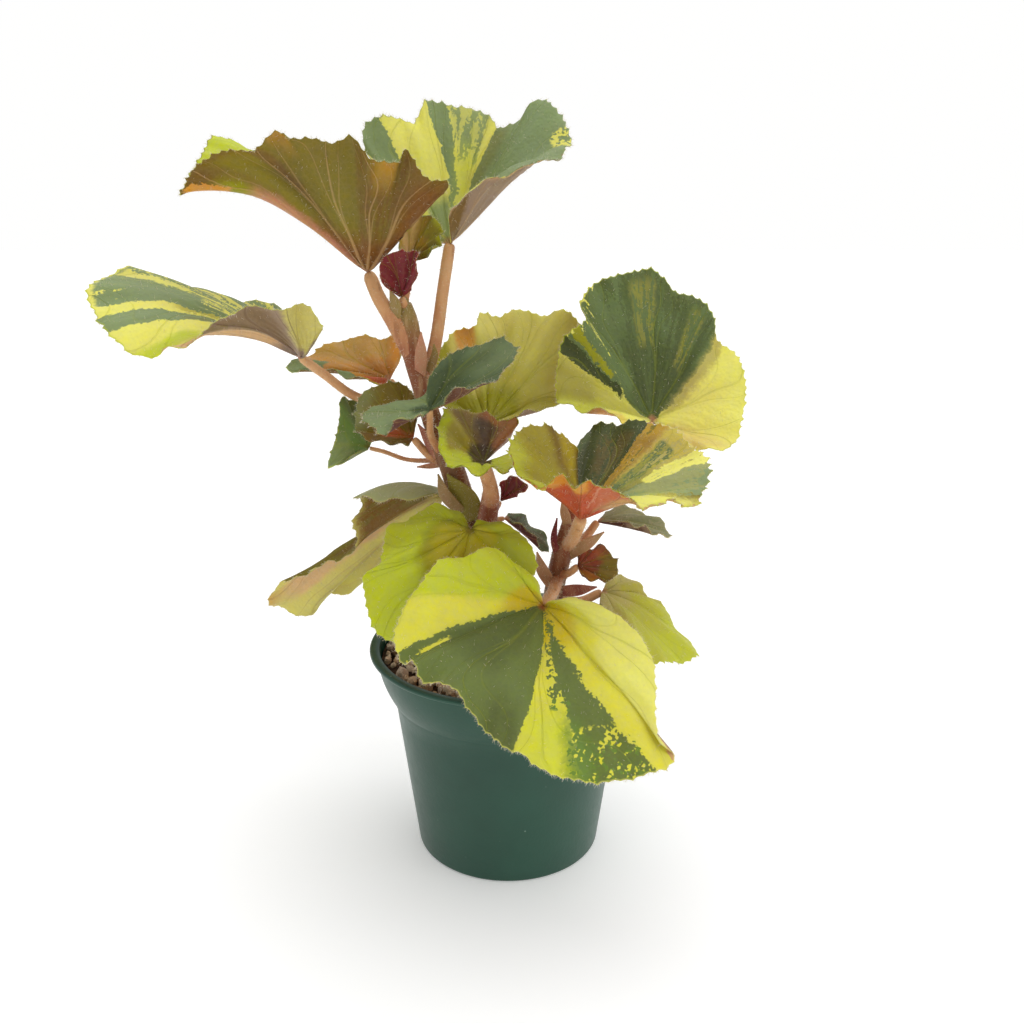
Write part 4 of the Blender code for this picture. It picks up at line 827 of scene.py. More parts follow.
class Sheet:
    """A blade's middle surface, as rings of points from the joint out to the margin."""

    def __init__(self, spec, toothed):
        self.veins = spec["veins"]
        self.belly = spec.get("belly", 0.0)
        self.joint = seen(*spec["joint"])
        row, number = margin_line(spec, self.joint)
        margin = row[:, :3]
        calm = averaged(row, EVEN_OUT * FINE_STEPS)
        broad, arch = calm[:, :3], calm[:, 3:]
        outward = unit(np.cross(broad - self.joint, np.gradient(broad, axis=0)))
        facing = averaged(outward, FINE_STEPS)
        place, self.length = even_places(margin, COLUMN, len(TOOTH))
        share = np.linspace(0, 1, len(row))
        margin, self.broad, self.arch, facing, self.number, self.share = (
            at_columns(values, place)
            for values in (margin, broad, arch, unit(facing), number, share))
        self.facing = unit(facing)
        self.upward = unit(self.facing.mean(0))
        self.detail = margin - self.broad
        self.inward = unit(self.joint - self.broad)
        self.span = np.linalg.norm(self.broad - self.joint, axis=1)
        self.small = min(1.0, float(self.span.mean()) / FULL_SPAN)
        self.teeth = toothed * tooth_depths(len(margin), self.small)[:, None]
        reaches = ring_reaches()
        self.vein_place = np.array([self.vein_places(out) for out in reaches])
        self.off_vein = np.abs(self.vein_place - np.round(self.vein_place))
        self.rings = np.array([self.ring(out, k) for k, out in enumerate(reaches)])

    def vein_places(self, out):
        """How many veins each column of a ring has passed, with the veins' own straying."""
        ring = self.joint + (self.broad - self.joint) * out
        stray = [noise.noise(Vector(point / BEND_LENGTH)) for point in ring]
        return self.veins * self.share + BEND * out * np.array(stray)

    def edge_wave(self):
        """A wave along the margin whose length drifts."""
        along = np.linspace(0, self.length, len(self.share))[:, None]
        drift = 2 * np.sin(along / EDGE_WAVE_DRIFT)
        return np.sin(FULL_TURN * along / EDGE_WAVE_LENGTH + drift)

    def puff(self, out, off_vein):
        """1 in the middle between two veins or forks, and 0 on them, a little unevenly."""
        turn = np.pi * self.veins * self.share[:, None]
        fork = FORK_SPREAD * max(0.0, out - FORK_REACH) / (1 - FORK_REACH)
        off_fork = np.minimum(off_vein, np.abs(off_vein - fork))
        return np.minimum(1, off_fork * PUFF_STEEP) * (0.7 + 0.3 * np.sin(9.0 * turn + 26.0 * out))

    def wrinkle(self, out, k):
        """How far each column of a ring lies off the plain form of the blade."""
        turn = np.pi * self.veins * self.share[:, None]
        pleat = np.cos(FULL_TURN * self.vein_place[k])[:, None]
        wrinkle = RUFFLE * out**3 * np.sin(RUFFLES_PER_VEIN * turn) - QUILT * out * pleat
        puff = self.puff(out, self.off_vein[k][:, None])
        wrinkle = wrinkle + PUFF * self.small * puff * (4 * out * (1 - out))
        return wrinkle + EDGE_WAVE * self.small * out**7 * self.edge_wave()

    def ring(self, out, k):
        """The points at one reach, with the arch, the belly, the relief and the teeth."""
        bow = 4 * out * (1 - out)
        deep = BELLY_SHARE * out * (1 - out)**2
        cut = max(0.0, (out - (1 - TEETH_REACH)) / TEETH_REACH) ** 1.5
        ring = self.joint + (self.broad - self.joint) * out + self.detail * out**3
        ring = ring + self.wrinkle(out, k) * self.facing
        ring = ring + bow * self.arch * self.upward - deep * self.belly * self.facing
        return ring + self.inward * self.teeth * cut

    def normals(self):
        """Normals of the surface, on the upper side."""
        whole = np.concatenate([np.broadcast_to(self.joint, self.rings[:1].shape), self.rings])
        along = np.gradient(whole, axis=0)[1:]
        round_it = np.gradient(self.rings, axis=1)
        normal = unit(np.cross(along, round_it))
        flip = np.sign((normal * self.facing).sum(-1, keepdims=True))
        return unit(normal * np.where(flip == 0, 1, flip))

    def vein_cell(self):
        """The width of the space between two veins at each point."""
        step = np.linalg.norm(np.gradient(self.rings, axis=1), axis=2)
        return step * len(self.share) / self.veins


def blade_faces(count, around):
    """Quads of both faces, the margin and the slit at the joint, with a triangle fan."""
    size = count * around
    step = np.arange(around - 1)
    faces = []
    for s in step:
        faces += [(0, 2 + s, 3 + s), (1, 3 + s + size, 2 + s + size)]
    for r in range(count - 1):
        base = 2 + r * around
        for s in step:
            a, b = base + s, base + s + around
            faces += [(a, b, b + 1, a + 1), (a + 1 + size, b + 1 + size, b + size, a + size)]
    base = 2 + (count - 1) * around
    for s in step:
        a, b = base + s, base + s + 1
        faces.append((a, a + size, b + size, b))
    for s, turned in ((0, 1), (around - 1, -1)):
        rows = [(0, 1, 2 + s + size, 2 + s)]
        for r in range(count - 1):
            a, b = 2 + r * around + s, 2 + (r + 1) * around + s
            rows.append((a, a + size, b + size, b))
        faces += [row[::turned] for row in rows]
    return faces


def blade_skins(sheet, reach, cell):
    """How far the upper and the lower skin lie from the middle surface."""
    thick = MIDDLE_THICK + (EDGE_THICK - MIDDLE_THICK) * reach**2
    half = thick / 2 * np.ones(cell.shape[1])
    half[-1] = EDGE_THICK * MARGIN_SHARE
    vein = np.exp(-((sheet.off_vein * cell) / (RIDGE_HALF_WIDTH - RIDGE_TAPER * reach)) ** 2)
    height = RIDGE * sheet.small * (1 - RIDGE_LOWERS * reach)
    ridge = height * vein * np.minimum(1, reach * RIDGE_RISES)
    return half - GROOVE_SHARE * ridge, half + ridge


def both_skins(pole, values):
    """Values for the two points at the joint and then for the upper and the lower skin."""
    return np.concatenate([[pole, pole], np.tile(values.ravel(), 2)])


def add_blade(name, spec, toothed):
    """A closed blade with teeth, quilting between its veins, and ridges underneath."""
    sheet = Sheet(spec, toothed)
    count, around = sheet.rings.shape[:2]
    reach = ring_reaches()[:, None]
    cell = sheet.vein_cell()
    above, below = blade_skins(sheet, reach, cell)
    normals = sheet.normals()
    points = np.vstack([
        sheet.joint + sheet.upward * MIDDLE_THICK / 2,
        sheet.joint - sheet.upward * MIDDLE_THICK / 2,
        (sheet.rings + normals * above[..., None]).reshape(-1, 3),
        (sheet.rings - normals * below[..., None]).reshape(-1, 3)])
    thing = new_piece(name, points, blade_faces(count, around))
    mesh = thing.data
    whole = np.ones((count, around))
    write_blade_map(mesh, both_skins(0.5, sheet.number * whole), both_skins(0.0, reach * whole))
    upper = np.concatenate([[1, 0], np.ones(whole.size), np.zeros(whole.size)])
    write_values(mesh, "POINT", "upper", upper)
    write_values(mesh, "POINT", "vein_place", both_skins(0.0, sheet.vein_place))
    write_values(mesh, "POINT", "cell", both_skins(0.0, cell))
    write_values(mesh, "POINT", "span", both_skins(sheet.span.mean(), sheet.span * whole))
    hairs = np.ones(len(mesh.polygons))
    first = 2 * (around - 1) * count
    hairs[first:first + around - 1] = MARGIN_HAIRS
    write_values(mesh, "FACE", "fuzz", hairs)
    return thing


def write_blade_map(mesh, number, reach):
    """A UV map with the place on the margin as U and the reach from the joint as V."""
    corners = np.empty(len(mesh.loops), int)
    mesh.loops.foreach_get("vertex_index", corners)
    across = number[corners]
    starts = np.empty(len(mesh.polygons), int)
    totals = np.empty(len(mesh.polygons), int)
    mesh.polygons.foreach_get("loop_start", starts)
    mesh.polygons.foreach_get("loop_total", totals)
    for start, total in zip(starts, totals):
        stretch = slice(start, start + total)
        pole = corners[stretch] < 2
        if pole.any():
            across[stretch] = np.where(pole, across[stretch][~pole].mean(), across[stretch])
    layer = mesh.uv_layers.new(name="blade")
    layer.data.foreach_set("uv", np.stack([across, reach[corners]], 1).ravel())


def daylight(name_or_channels):
    """A colour as it looks, 0 to 255, as the linear colour that a shader takes."""
    channels = TISSUE.get(name_or_channels, name_or_channels)
    share = np.array(channels) / 255.0
    linear = np.where(share <= 0.04045, share / 12.92, ((share + 0.055) / 1.055) ** 2.4)
    return (*linear.tolist(), 1.0)


class Finish:
    """A material whose nodes are made with short calls. A scale counts features per metre."""

    def __init__(self, name, roughness, specular=0.4):
        self.material = bpy.data.materials.new(name)
        self.material.use_nodes = True
        self.tree = self.material.node_tree
        self.shader = self.tree.nodes["Principled BSDF"]
        self.set("Roughness", roughness)
        self.set("Specular IOR Level", specular)

    def node(self, kind, **settings):
        node = self.tree.nodes.new(kind)
        for key, value in settings.items():
            setattr(node, key, value)
        return node

    def put(self, socket, value):
        if isinstance(value, bpy.types.NodeSocket):
            self.tree.links.new(value, socket)
        elif value is not None:
            socket.default_value = value

    def set(self, name, value):
        self.put(self.shader.inputs[name], value)

    def maths(self, operation, *values):
        node = self.node("ShaderNodeMath", operation=operation)
        for socket, value in zip(node.inputs, values):
            self.put(socket, value)
        return node.outputs[0]

    def product(self, *factors):
        total = factors[0]
        for factor in factors[1:]:
            total = self.maths("MULTIPLY", total, factor)
        return total

    def total(self, first, second):
        return self.maths("ADD", first, second)

    def less(self, first, second):
        return self.maths("SUBTRACT", first, second)

    def scaled(self, value, factor, more):
        """The value times the factor, and something more."""
        return self.maths("MULTIPLY_ADD", value, factor, more)

    def blend(self, share, first, second):
        node = self.node("ShaderNodeMix", data_type="RGBA")
        self.put(node.inputs[0], share)
        self.put(node.inputs[6], first)
        self.put(node.inputs[7], second)
        return node.outputs[2]

    def rise(self, value, low, high):
        """0 below low, 1 above high, and a smooth rise between."""
        node = self.node("ShaderNodeMapRange", interpolation_type="SMOOTHSTEP")
        self.put(node.inputs["Value"], value)
        self.put(node.inputs["From Min"], low)
        self.put(node.inputs["From Max"], high)
        return node.outputs["Result"]

    def fall(self, value, low, high):
        return self.less(1.0, self.rise(value, low, high))

    def between(self, value, low, high):
        """A value from 0 to 1 spread out from low to high."""
        node = self.node("ShaderNodeMapRange")
        self.put(node.inputs["Value"], value)
        self.put(node.inputs["To Min"], low)
        self.put(node.inputs["To Max"], high)
        return node.outputs["Result"]

    def vector(self, x, y, z):
        node = self.node("ShaderNodeCombineXYZ")
        for socket, value in zip(node.inputs, (x, y, z)):
            self.put(socket, value)
        return node.outputs[0]

    def place(self):
        return self.node("ShaderNodeTexCoord").outputs["Object"]

    def stretched(self, vector, across, along):
        """The place with a scale of its own across and along the Z axis."""
        node = self.node("ShaderNodeMapping")
        self.put(node.inputs["Vector"], vector)
        node.inputs["Scale"].default_value = (across, across, along)
        return node.outputs[0]

    def value_of(self, name):
        return self.node("ShaderNodeAttribute", attribute_name=name).outputs["Fac"]

    def clouds(self, vector, scale, detail=3.0, roughness=0.55):
        node = self.node("ShaderNodeTexNoise")
        self.put(node.inputs["Vector"], vector)
        self.put(node.inputs["Scale"], scale)
        self.put(node.inputs["Detail"], detail)
        self.put(node.inputs["Roughness"], roughness)
        return node.outputs["Fac"]

    def swing(self, vector, scale, detail=3.0, roughness=0.55):
        """Clouds that swing to both sides of 0."""
        return self.less(self.clouds(vector, scale, detail, roughness), 0.5)

    def cells(self, vector, scale, feature="F1"):
        node = self.node("ShaderNodeTexVoronoi", feature=feature)
        self.put(node.inputs["Vector"], vector)
        self.put(node.inputs["Scale"], scale)
        return node.outputs["Distance"]

    def chance(self, vector, scale):
        """A number from -0.5 to 0.5 for each small cell."""
        node = self.node("ShaderNodeTexVoronoi")
        self.put(node.inputs["Vector"], vector)
        self.put(node.inputs["Scale"], scale)
        split = self.node("ShaderNodeSeparateColor")
        self.put(split.inputs[0], node.outputs["Color"])
        return self.less(split.outputs[0], 0.5)

    def ramp(self, value, stops):
        node = self.node("ShaderNodeValToRGB")
        elements = node.color_ramp.elements
        while len(elements) < len(stops):
            elements.new(0.5)
        for element, (position, colour) in zip(elements, stops):
            element.position = position
            element.color = daylight(colour)
        self.put(node.inputs[0], value)
        return node.outputs[0]

    def relief(self, height, depth):
        """Bump, with the height from 0 to 1 over a depth in millimetres."""
        node = self.node("ShaderNodeBump")
        self.put(node.inputs["Strength"], 1.0)
        self.put(node.inputs["Distance"], depth * MM)
        self.put(node.inputs["Height"], height)
        self.set("Normal", node.outputs["Normal"])

    def glow_through(self, weight, reach, radius=(1.0, 0.9, 0.3)):
        """Light that spreads under the surface, over a reach in millimetres."""
        self.set("Subsurface Weight", weight)
        self.set("Subsurface Radius", radius)
        self.set("Subsurface Scale", reach * MM)


def edge_between(finish, at, start, end, softness):
    """0 before a line from start at the joint to end at the margin, and 1 past it."""
    line = end if start == end else finish.scaled(at["reach"], end - start, start)
    past = finish.product(finish.less(at["point"], line), at["point_mm"])
    return finish.rise(past, -softness, softness)


def patch_mask(finish, at, look, ends, first, last):
    """How much of a patch shows at each place."""
    softness, share, strength, grain = LOOKS[look]
    start_in, start_out, end_in, end_out = ends
    begun = edge_between(finish, at, start_in, start_out, softness)
    ended = edge_between(finish, at, end_in, end_out, softness)
    mask = finish.product(begun, finish.less(1.0, ended))
    soft = 0.01 + softness / 30
    if first > 0:
        mask = finish.product(mask, finish.rise(at["reach"], first - soft, first + soft))
    if last < 1:
        mask = finish.product(mask, finish.fall(at["reach"], last - soft, last + soft))
    if share < 1:
        mask = finish.product(mask, finish.fall(at[grain], share - 0.04, share + 0.04))
    return mask if strength == 1 else finish.product(mask, strength)


def painted(finish, at, ground, patches):
    """Sectors, streaks and blocks of other tissue over a ground; on leaf_centre some of them are
    painted highlight.
    """
    colour = daylight(ground)
    for tissue, look, *ends, first, last in patches:
        mask = patch_mask(finish, at, look, ends, first, last)
        colour = finish.blend(mask, colour, daylight(tissue))
    return colour


def blade_places(finish, spec, seed):
    """Where each place of a blade lies for its paint, with edges frayed block by block."""
    split = finish.node("ShaderNodeSeparateXYZ")
    finish.put(split.inputs[0], finish.node("ShaderNodeUVMap", uv_map="blade").outputs[0])
    across, reach = split.outputs[0], split.outputs[1]
    points = len(spec["margin"]) - 1
    point = finish.product(across, float(points))
    cell, span = finish.value_of("cell"), finish.value_of("span")
    point_mm = finish.maths("MAXIMUM", finish.product(cell, spec["veins"] / points),
                            NARROWEST_POINT)
    here = finish.place()
    chance = finish.chance(here, BLOCKS_TO_METRE)
    wander = finish.swing(here, WANDER_TO_METRE, 4.0, 0.6)
    stray_mm = finish.scaled(wander, WANDER_FRAY, finish.product(chance, BLOCK_FRAY))
    outward = finish.vector(finish.product(point, STREAKS_TO_POINT),
                            finish.product(reach, STREAK_BREAKS), seed)
    streaks = finish.clouds(outward, 1.0, 5.0, 0.62)
    patchy = finish.swing(here, PATCHES_TO_METRE, 2.0)
    return {
        "span": span,
        "cell": cell,
        "plain_reach": reach,
        "point_mm": point_mm,
        "point": finish.total(point, finish.maths("DIVIDE", stray_mm, point_mm)),
        "reach": finish.total(reach, finish.maths("DIVIDE", stray_mm, span)),
        "streaks": finish.scaled(streaks, 2.6, finish.scaled(chance, 0.25, -0.9)),
        "blocks": finish.scaled(patchy, 2.2, finish.total(chance, 0.5)),
    }


def vein_lines(finish, at):
    """The main veins and their forks, as lines that taper toward the margin."""
    reach, cell = at["plain_reach"], at["cell"]
    off = finish.maths("PINGPONG", finish.value_of("vein_place"), 0.5)
    past_fork = finish.maths("MAXIMUM", finish.less(reach, FORK_REACH), 0.0)
    fork = finish.product(past_fork, FORK_SPREAD / (1 - FORK_REACH))
    off_fork = finish.maths("ABSOLUTE", finish.less(off, fork))
    half = finish.scaled(reach, -0.45, 0.8)
    main = finish.fall(finish.product(off, cell), 0.1, half)
    forked = finish.fall(finish.product(off_fork, cell), 0.05, finish.product(half, 0.8))
    return finish.maths("MAXIMUM", main, finish.product(forked, 0.65))


def living(finish, colour, here, mottle):
    """A colour whose hue and strength drift over the blade and mottle it finely."""
    drift = finish.clouds(here, DRIFTS_TO_METRE)
    tone = finish.node("ShaderNodeHueSaturation")
    finish.put(tone.inputs["Hue"], finish.scaled(drift, 0.03, 0.485))
    finish.put(tone.inputs["Saturation"], finish.scaled(mottle, 0.3, 0.85))
    finish.put(tone.inputs["Value"], finish.scaled(mottle, 0.24, finish.scaled(drift, 0.2, 0.82)))
    finish.put(tone.inputs["Color"], colour)
    return tone.outputs[0]


def leaf_finish(name, spec, paint, seed):
    """A living leaf: patched upper side, plainer underside, veins, rim and fine quilting."""
    finish = Finish(name, 0.52, 0.24)
    at = blade_places(finish, spec, seed)
    here = finish.place()
    veins = vein_lines(finish, at)
    net = finish.fall(finish.cells(here, NET_TO_METRE, "DISTANCE_TO_EDGE"), 0.02, 0.16)
    sides = []
    for ground, patches, lines, net_share, vein_share in (
            ("lower", "lower_patches", paint["vein"], 0.05, 0.4),
            ("ground", "patches", "dull_lime", 0.03, 0.17)):
        side = painted(finish, at, paint[ground], paint[patches])
        drawn = finish.scaled(net, net_share, finish.product(veins, vein_share))
        sides.append(finish.blend(drawn, side, daylight(lines)))
    mottle = finish.clouds(here, MOTTLES_TO_METRE, 5.0, 0.65)
    colour = finish.blend(finish.rise(finish.value_of("upper"), 0.45, 0.55), *sides)
    colour = living(finish, colour, here, mottle)

    reach, span = at["plain_reach"], at["span"]
    rim_mm = finish.product(finish.less(1.0, reach), span)
    rim = finish.product(finish.fall(rim_mm, 0.1, RIM_WIDTH), 0.6)
    colour = finish.blend(rim, colour, daylight(paint["rim"]))
    joint_mm = finish.product(reach, span)
    joint = finish.product(finish.fall(joint_mm, 0.4, JOINT_SPOT), 0.7)
    colour = finish.blend(joint, colour, daylight(paint.get("joint", "pink")))
    finish.set("Base Color", colour)
    areoles = finish.cells(here, AREOLES_TO_METRE, "SMOOTH_F1")
    quilt = finish.scaled(areoles, 0.5, finish.product(veins, -0.5))
    finish.relief(finish.total(quilt, finish.product(mottle, 0.4)), 0.3)
    finish.glow_through(0.3, 1.0)
    finish.set("Sheen Weight", 0.03)
    finish.set("Sheen Roughness", 0.4)
    return finish.material


def hair_finish():
    """Short pale hairs that let light through."""
    finish = Finish("leaf_hair", 0.45)
    finish.set("Base Color", finish.ramp(finish.clouds(finish.place(), 40.0), HAIR_TONES))
    finish.glow_through(0.3, 0.4)
    return finish.material


def stem_finish():
    """Stems from peach young stalks to brown old canes, with lengthwise streaks."""
    finish = Finish("stem", 0.5)
    here = finish.place()
    mottle = finish.clouds(here, 160.0, 5.0, 0.6)
    age = finish.scaled(finish.less(mottle, 0.5), 0.35, finish.value_of("age"))
    colour = finish.ramp(age, STEM_TONES)
    colour = finish.blend(finish.value_of("green"), colour, daylight(STEM_GREEN))
    streaks = finish.clouds(finish.stretched(here, 420.0, 60.0), 1.0, 4.0)
    pale = finish.product(finish.rise(streaks, 0.5, 0.72), 0.4)
    colour = finish.blend(pale, colour, daylight("peach"))
    dark = finish.product(finish.fall(streaks, 0.3, 0.45), 0.5)
    colour = finish.blend(dark, colour, daylight("red_brown"))
    finish.set("Base Color", colour)
    grain = finish.clouds(here, 700.0, 4.0)
    finish.relief(finish.total(grain, finish.product(mottle, 0.8)), 0.25)
    finish.glow_through(0.12, 1.0, (1.0, 0.5, 0.3))
    return finish.material


def stipule_finish():
    """Papery stipules, from olive through tan to crimson."""
    finish = Finish("stipule", 0.5, 0.3)
    here = finish.place()
    mottle = finish.swing(finish.stretched(here, 300.0, 90.0), 1.0, 5.0, 0.6)
    tone = finish.scaled(mottle, 0.5, finish.value_of("tone"))
    finish.set("Base Color", finish.ramp(tone, STIPULE_TONES))
    finish.relief(finish.clouds(here, 600.0, 4.0), 0.2)
    finish.glow_through(0.2, 1.0, (1.0, 0.7, 0.3))
    return finish.material


def pot_finish():
    """Dark green moulded plastic with a satin skin, pale dust and a few brown spots."""
    finish = Finish("pot_plastic", 0.36, 0.45)
    here = finish.place()
    cloud = finish.clouds(here, 26.0, 5.0)
    colour = finish.ramp(cloud, POT_TONES)
    specks = finish.fall(finish.cells(here, 150.0), 0.02, 0.06)
    dust = finish.product(specks, finish.rise(cloud, 0.42, 0.6))
    colour = finish.blend(finish.product(dust, 0.6), colour, daylight(POT_DUST))
    spots = finish.fall(finish.cells(here, 34.0), 0.012, 0.03)
    colour = finish.blend(finish.product(spots, 0.7), colour, daylight(POT_STAIN))
    finish.set("Base Color", colour)
    finish.set("Roughness", finish.between(finish.clouds(here, 300.0, 4.0), 0.3, 0.46))
    finish.relief(finish.clouds(here, 900.0), 0.05)
    return finish.material


def soil_finish():
    """Dark damp crumbs of potting mix."""
    finish = Finish("soil_mix", 0.95, 0.2)
    crumbs = finish.clouds(finish.place(), 420.0, 6.0, 0.7)
    finish.set("Base Color", finish.ramp(crumbs, SOIL_TONES))
    finish.relief(crumbs, 1.2)
    return finish.material


def grit_finish():
    """Pumice grains, each with a tone of its own, and pitted."""
    finish = Finish("grit", 0.9, 0.25)
    pits = finish.clouds(finish.place(), 1300.0, 5.0, 0.7)
    pitted = finish.product(finish.fall(pits, 0.32, 0.5), 0.45)
    colour = finish.ramp(finish.value_of("tone"), GRIT_TONES)
    finish.set("Base Color", finish.blend(pitted, colour, daylight(GRIT_PIT)))
    finish.relief(pits, 0.5)
    return finish.material


def new_tree(name, inputs):
    """A geometry tree with named inputs, its input node and a short way to add nodes."""
    tree = bpy.data.node_groups.new(name, "GeometryNodeTree")
    tree.interface.new_socket("Geometry", in_out="INPUT", socket_type="NodeSocketGeometry")
    for label, kind in inputs:
        tree.interface.new_socket(label, in_out="INPUT", socket_type="NodeSocket" + kind)
    tree.interface.new_socket("Geometry", in_out="OUTPUT", socket_type="NodeSocketGeometry")

    def add(kind, links=None, **settings):
        node = tree.nodes.new(kind)
        for key, value in settings.items():
            setattr(node, key, value)
        for key, value in (links or {}).items():
            socket = node.inputs[key]
            if isinstance(value, bpy.types.NodeSocket):
                tree.links.new(value, socket)
            else:
                socket.default_value = value
        return node

    return tree, add("NodeGroupInput").outputs, add


def dress_instances(add, given, instances):
    """The end of a tree: instances made real, with the material that was given."""
    real = add("GeometryNodeRealizeInstances", {"Geometry": instances})
    dressed = add("GeometryNodeSetMaterial", {
        "Geometry": real.outputs[0], "Material": given["Material"]})
    add("NodeGroupOutput", {"Geometry": dressed.outputs[0]})


def fuzz_tree():
    """Grows tapering hairs out of a surface, as thick as its face attribute "fuzz" says."""
    tree, given, add = new_tree("fuzz", [
        ("Density", "Float"), ("Length", "Float"), ("Width", "Float"), ("Seed", "Int"),
        ("Material", "Material")])
    thick = add("GeometryNodeInputNamedAttribute", {"Name": "fuzz"}, data_type="FLOAT")
    density = add("ShaderNodeMath", {0: thick.outputs[0], 1: given["Density"]},
                  operation="MULTIPLY")
    roots = add("GeometryNodeDistributePointsOnFaces", {
        "Mesh": given["Geometry"], "Density": density.outputs[0], "Seed": given["Seed"]})
    hair = add("GeometryNodeMeshCone", {
        "Vertices": 3, "Radius Bottom": given["Width"], "Radius Top": 0.0,
        "Depth": given["Length"]}, fill_type="NGON")
    lean = add("FunctionNodeRandomValue", {
        0: (-HAIR_LEAN, -HAIR_LEAN, 0.0), 1: (HAIR_LEAN, HAIR_LEAN, ANY_TURN),
        "Seed": given["Seed"]}, data_type="FLOAT_VECTOR")
    turned = add("FunctionNodeRotateRotation", {
        "Rotation": roots.outputs["Rotation"], "Rotate By": lean.outputs[0]},
        rotation_space="LOCAL")
    long = add("FunctionNodeRandomValue", {
        2: HAIR_SHORTEST, 3: HAIR_LONGEST, "Seed": given["Seed"]}, data_type="FLOAT")
    planted = add("GeometryNodeInstanceOnPoints", {
        "Points": roots.outputs["Points"], "Instance": hair.outputs["Mesh"],
        "Rotation": turned.outputs[0], "Scale": long.outputs[1]})
    dress_instances(add, given, planted.outputs[0])
    return tree


def grit_tree():
    """Lays grains of several shapes on a bed, each turned, sized and toned by chance."""
    tree, given, add = new_tree("grit_bed", [
        ("Grains", "Collection"), ("Spacing", "Float"), ("Density", "Float"), ("Small", "Float"),
        ("Large", "Float"), ("Seed", "Int"), ("Material", "Material")])
    beds = add("GeometryNodeDistributePointsOnFaces", {
        "Mesh": given["Geometry"], "Distance Min": given["Spacing"],
        "Density Max": given["Density"], "Seed": given["Seed"]}, distribute_method="POISSON")
    shapes = add("GeometryNodeCollectionInfo", {
        "Collection": given["Grains"], "Separate Children": True, "Reset Children": True})
    turn = add("FunctionNodeRandomValue", {
        0: (0.0, 0.0, 0.0), 1: (ANY_TURN, ANY_TURN, ANY_TURN), "Seed": given["Seed"]},
        data_type="FLOAT_VECTOR")
    size = add("FunctionNodeRandomValue", {
        2: given["Small"], 3: given["Large"], "Seed": given["Seed"]}, data_type="FLOAT")
    laid = add("GeometryNodeInstanceOnPoints", {
        "Points": beds.outputs["Points"], "Instance": shapes.outputs[0],
        "Pick Instance": True, "Rotation": turn.outputs[0], "Scale": size.outputs[1]})
    tone = add("FunctionNodeRandomValue", {"Seed": given["Seed"]}, data_type="FLOAT")
    toned = add("GeometryNodeStoreNamedAttribute", {
        "Geometry": laid.outputs[0], "Name": "tone", "Value": tone.outputs[1]},
        data_type="FLOAT", domain="INSTANCE")
    dress_instances(add, given, toned.outputs[0])
    return tree


def socket_of(tree, name):
    """The identifier of a modifier's named input."""
    for item in tree.interface.items_tree:
        if item.in_out == "INPUT" and item.name == name:
            return item.identifier
    raise KeyError(name)


def grown(base, tree, name, **inputs):
    """A plain mesh of what the tree grows on a base object, which stays as it was."""
    modifier = base.modifiers.new("grow", "NODES")
    modifier.node_group = tree
    for key, value in inputs.items():
        modifier[socket_of(tree, key)] = value
    base.update_tag()
    mesh = plain_mesh(base)
    base.modifiers.remove(modifier)
    mesh.name = name
    return new_object(name, mesh)


def grow_fuzz(thing, tree, name, hairs, seed, finish):
    density, length, width = hairs
    return grown(thing, tree, name, Density=density / MM**2, Length=length * MM,
                 Width=width * MM, Seed=seed, Material=finish)


def grow_stem_fuzz(thing, tree, name, seed, finish):
    """Hairs that stand equally thick all over a thing."""
    write_values(thing.data, "FACE", "fuzz", np.ones(len(thing.data.polygons)))
    return grow_fuzz(thing, tree, name, STEM_HAIRS, seed, finish)


def tube_points(row, sides, steps, thickness=None):
    """Rings of points along rows of (x, y, z, radius), round or of a given thickness."""
    path = smooth_row(row, steps)
    line, radius = path[:, :3], np.maximum(path[:, 3], STEM_THINNEST)
    ahead = unit(np.gradient(line, axis=0))
    side = unit(np.cross(ahead[0], (0.2, 1.0, 0.3)))
    rings = []
    for place, way, wide in zip(line, ahead, radius):
        side = unit(side - way * (side @ way))
        other = np.cross(way, side)
        high = wide if thickness is None else thickness / 2
        for k in range(sides):
            turn = FULL_TURN * k / sides
            rings.append(place + side * wide * math.cos(turn) + other * high * math.sin(turn))
    return np.array(rings), path


def tube_faces(count, sides):
    """Quads along a tube, and a face over each of its ends."""
    last = count - sides
    faces = [tuple(range(sides - 1, -1, -1)), tuple(range(last, last + sides))]
    for ring in range(last // sides):
        for k in range(sides):
            a = ring * sides + k
            b = ring * sides + (k + 1) % sides
            faces.append((a, b, b + sides, a + sides))
    return faces


def add_tube(name, row, sides=STEM_SIDES, steps=STEM_STEPS, thickness=None):
    """A closed tube along a row, and its smooth path."""
    points, path = tube_points(row, sides, steps, thickness)
    return new_piece(name, points, tube_faces(len(points), sides)), path


def foot_row(foot):
    x, y = foot
    return [np.array([x, y, FOOT_BOTTOM, FOOT_RADIUS]),
            np.array([x, y, SOIL_TOP + FOOT_ABOVE_SOIL, FOOT_RADIUS])]


def stalk_row(points, name):
    """A stalk's row, which ends just under its blade's joint."""
    row = sight_row(points)
    joint = seen(*BLADES[name]["joint"])
    ahead = unit(joint - row[-1][:3])
    radius = row[-1][3]
    return row + [np.append(joint - ahead * radius, radius * STALK_NECK),
                  np.append(joint - ahead * STALK_SHORT, radius * STALK_END)]


def melt(thing):
    """Makes one even skin of tubes that run into one another."""
    skin = thing.modifiers.new("skin", "REMESH")
    skin.mode = "VOXEL"
    skin.voxel_size = STEM_VOXEL * MM
    skin.use_smooth_shade = True
    even = thing.modifiers.new("even", "SMOOTH")
    even.factor = STEM_EVEN_FACTOR
    even.iterations = STEM_EVEN_TIMES
    mesh = plain_mesh(thing)
    thing.modifiers.clear()
    thing.data = mesh


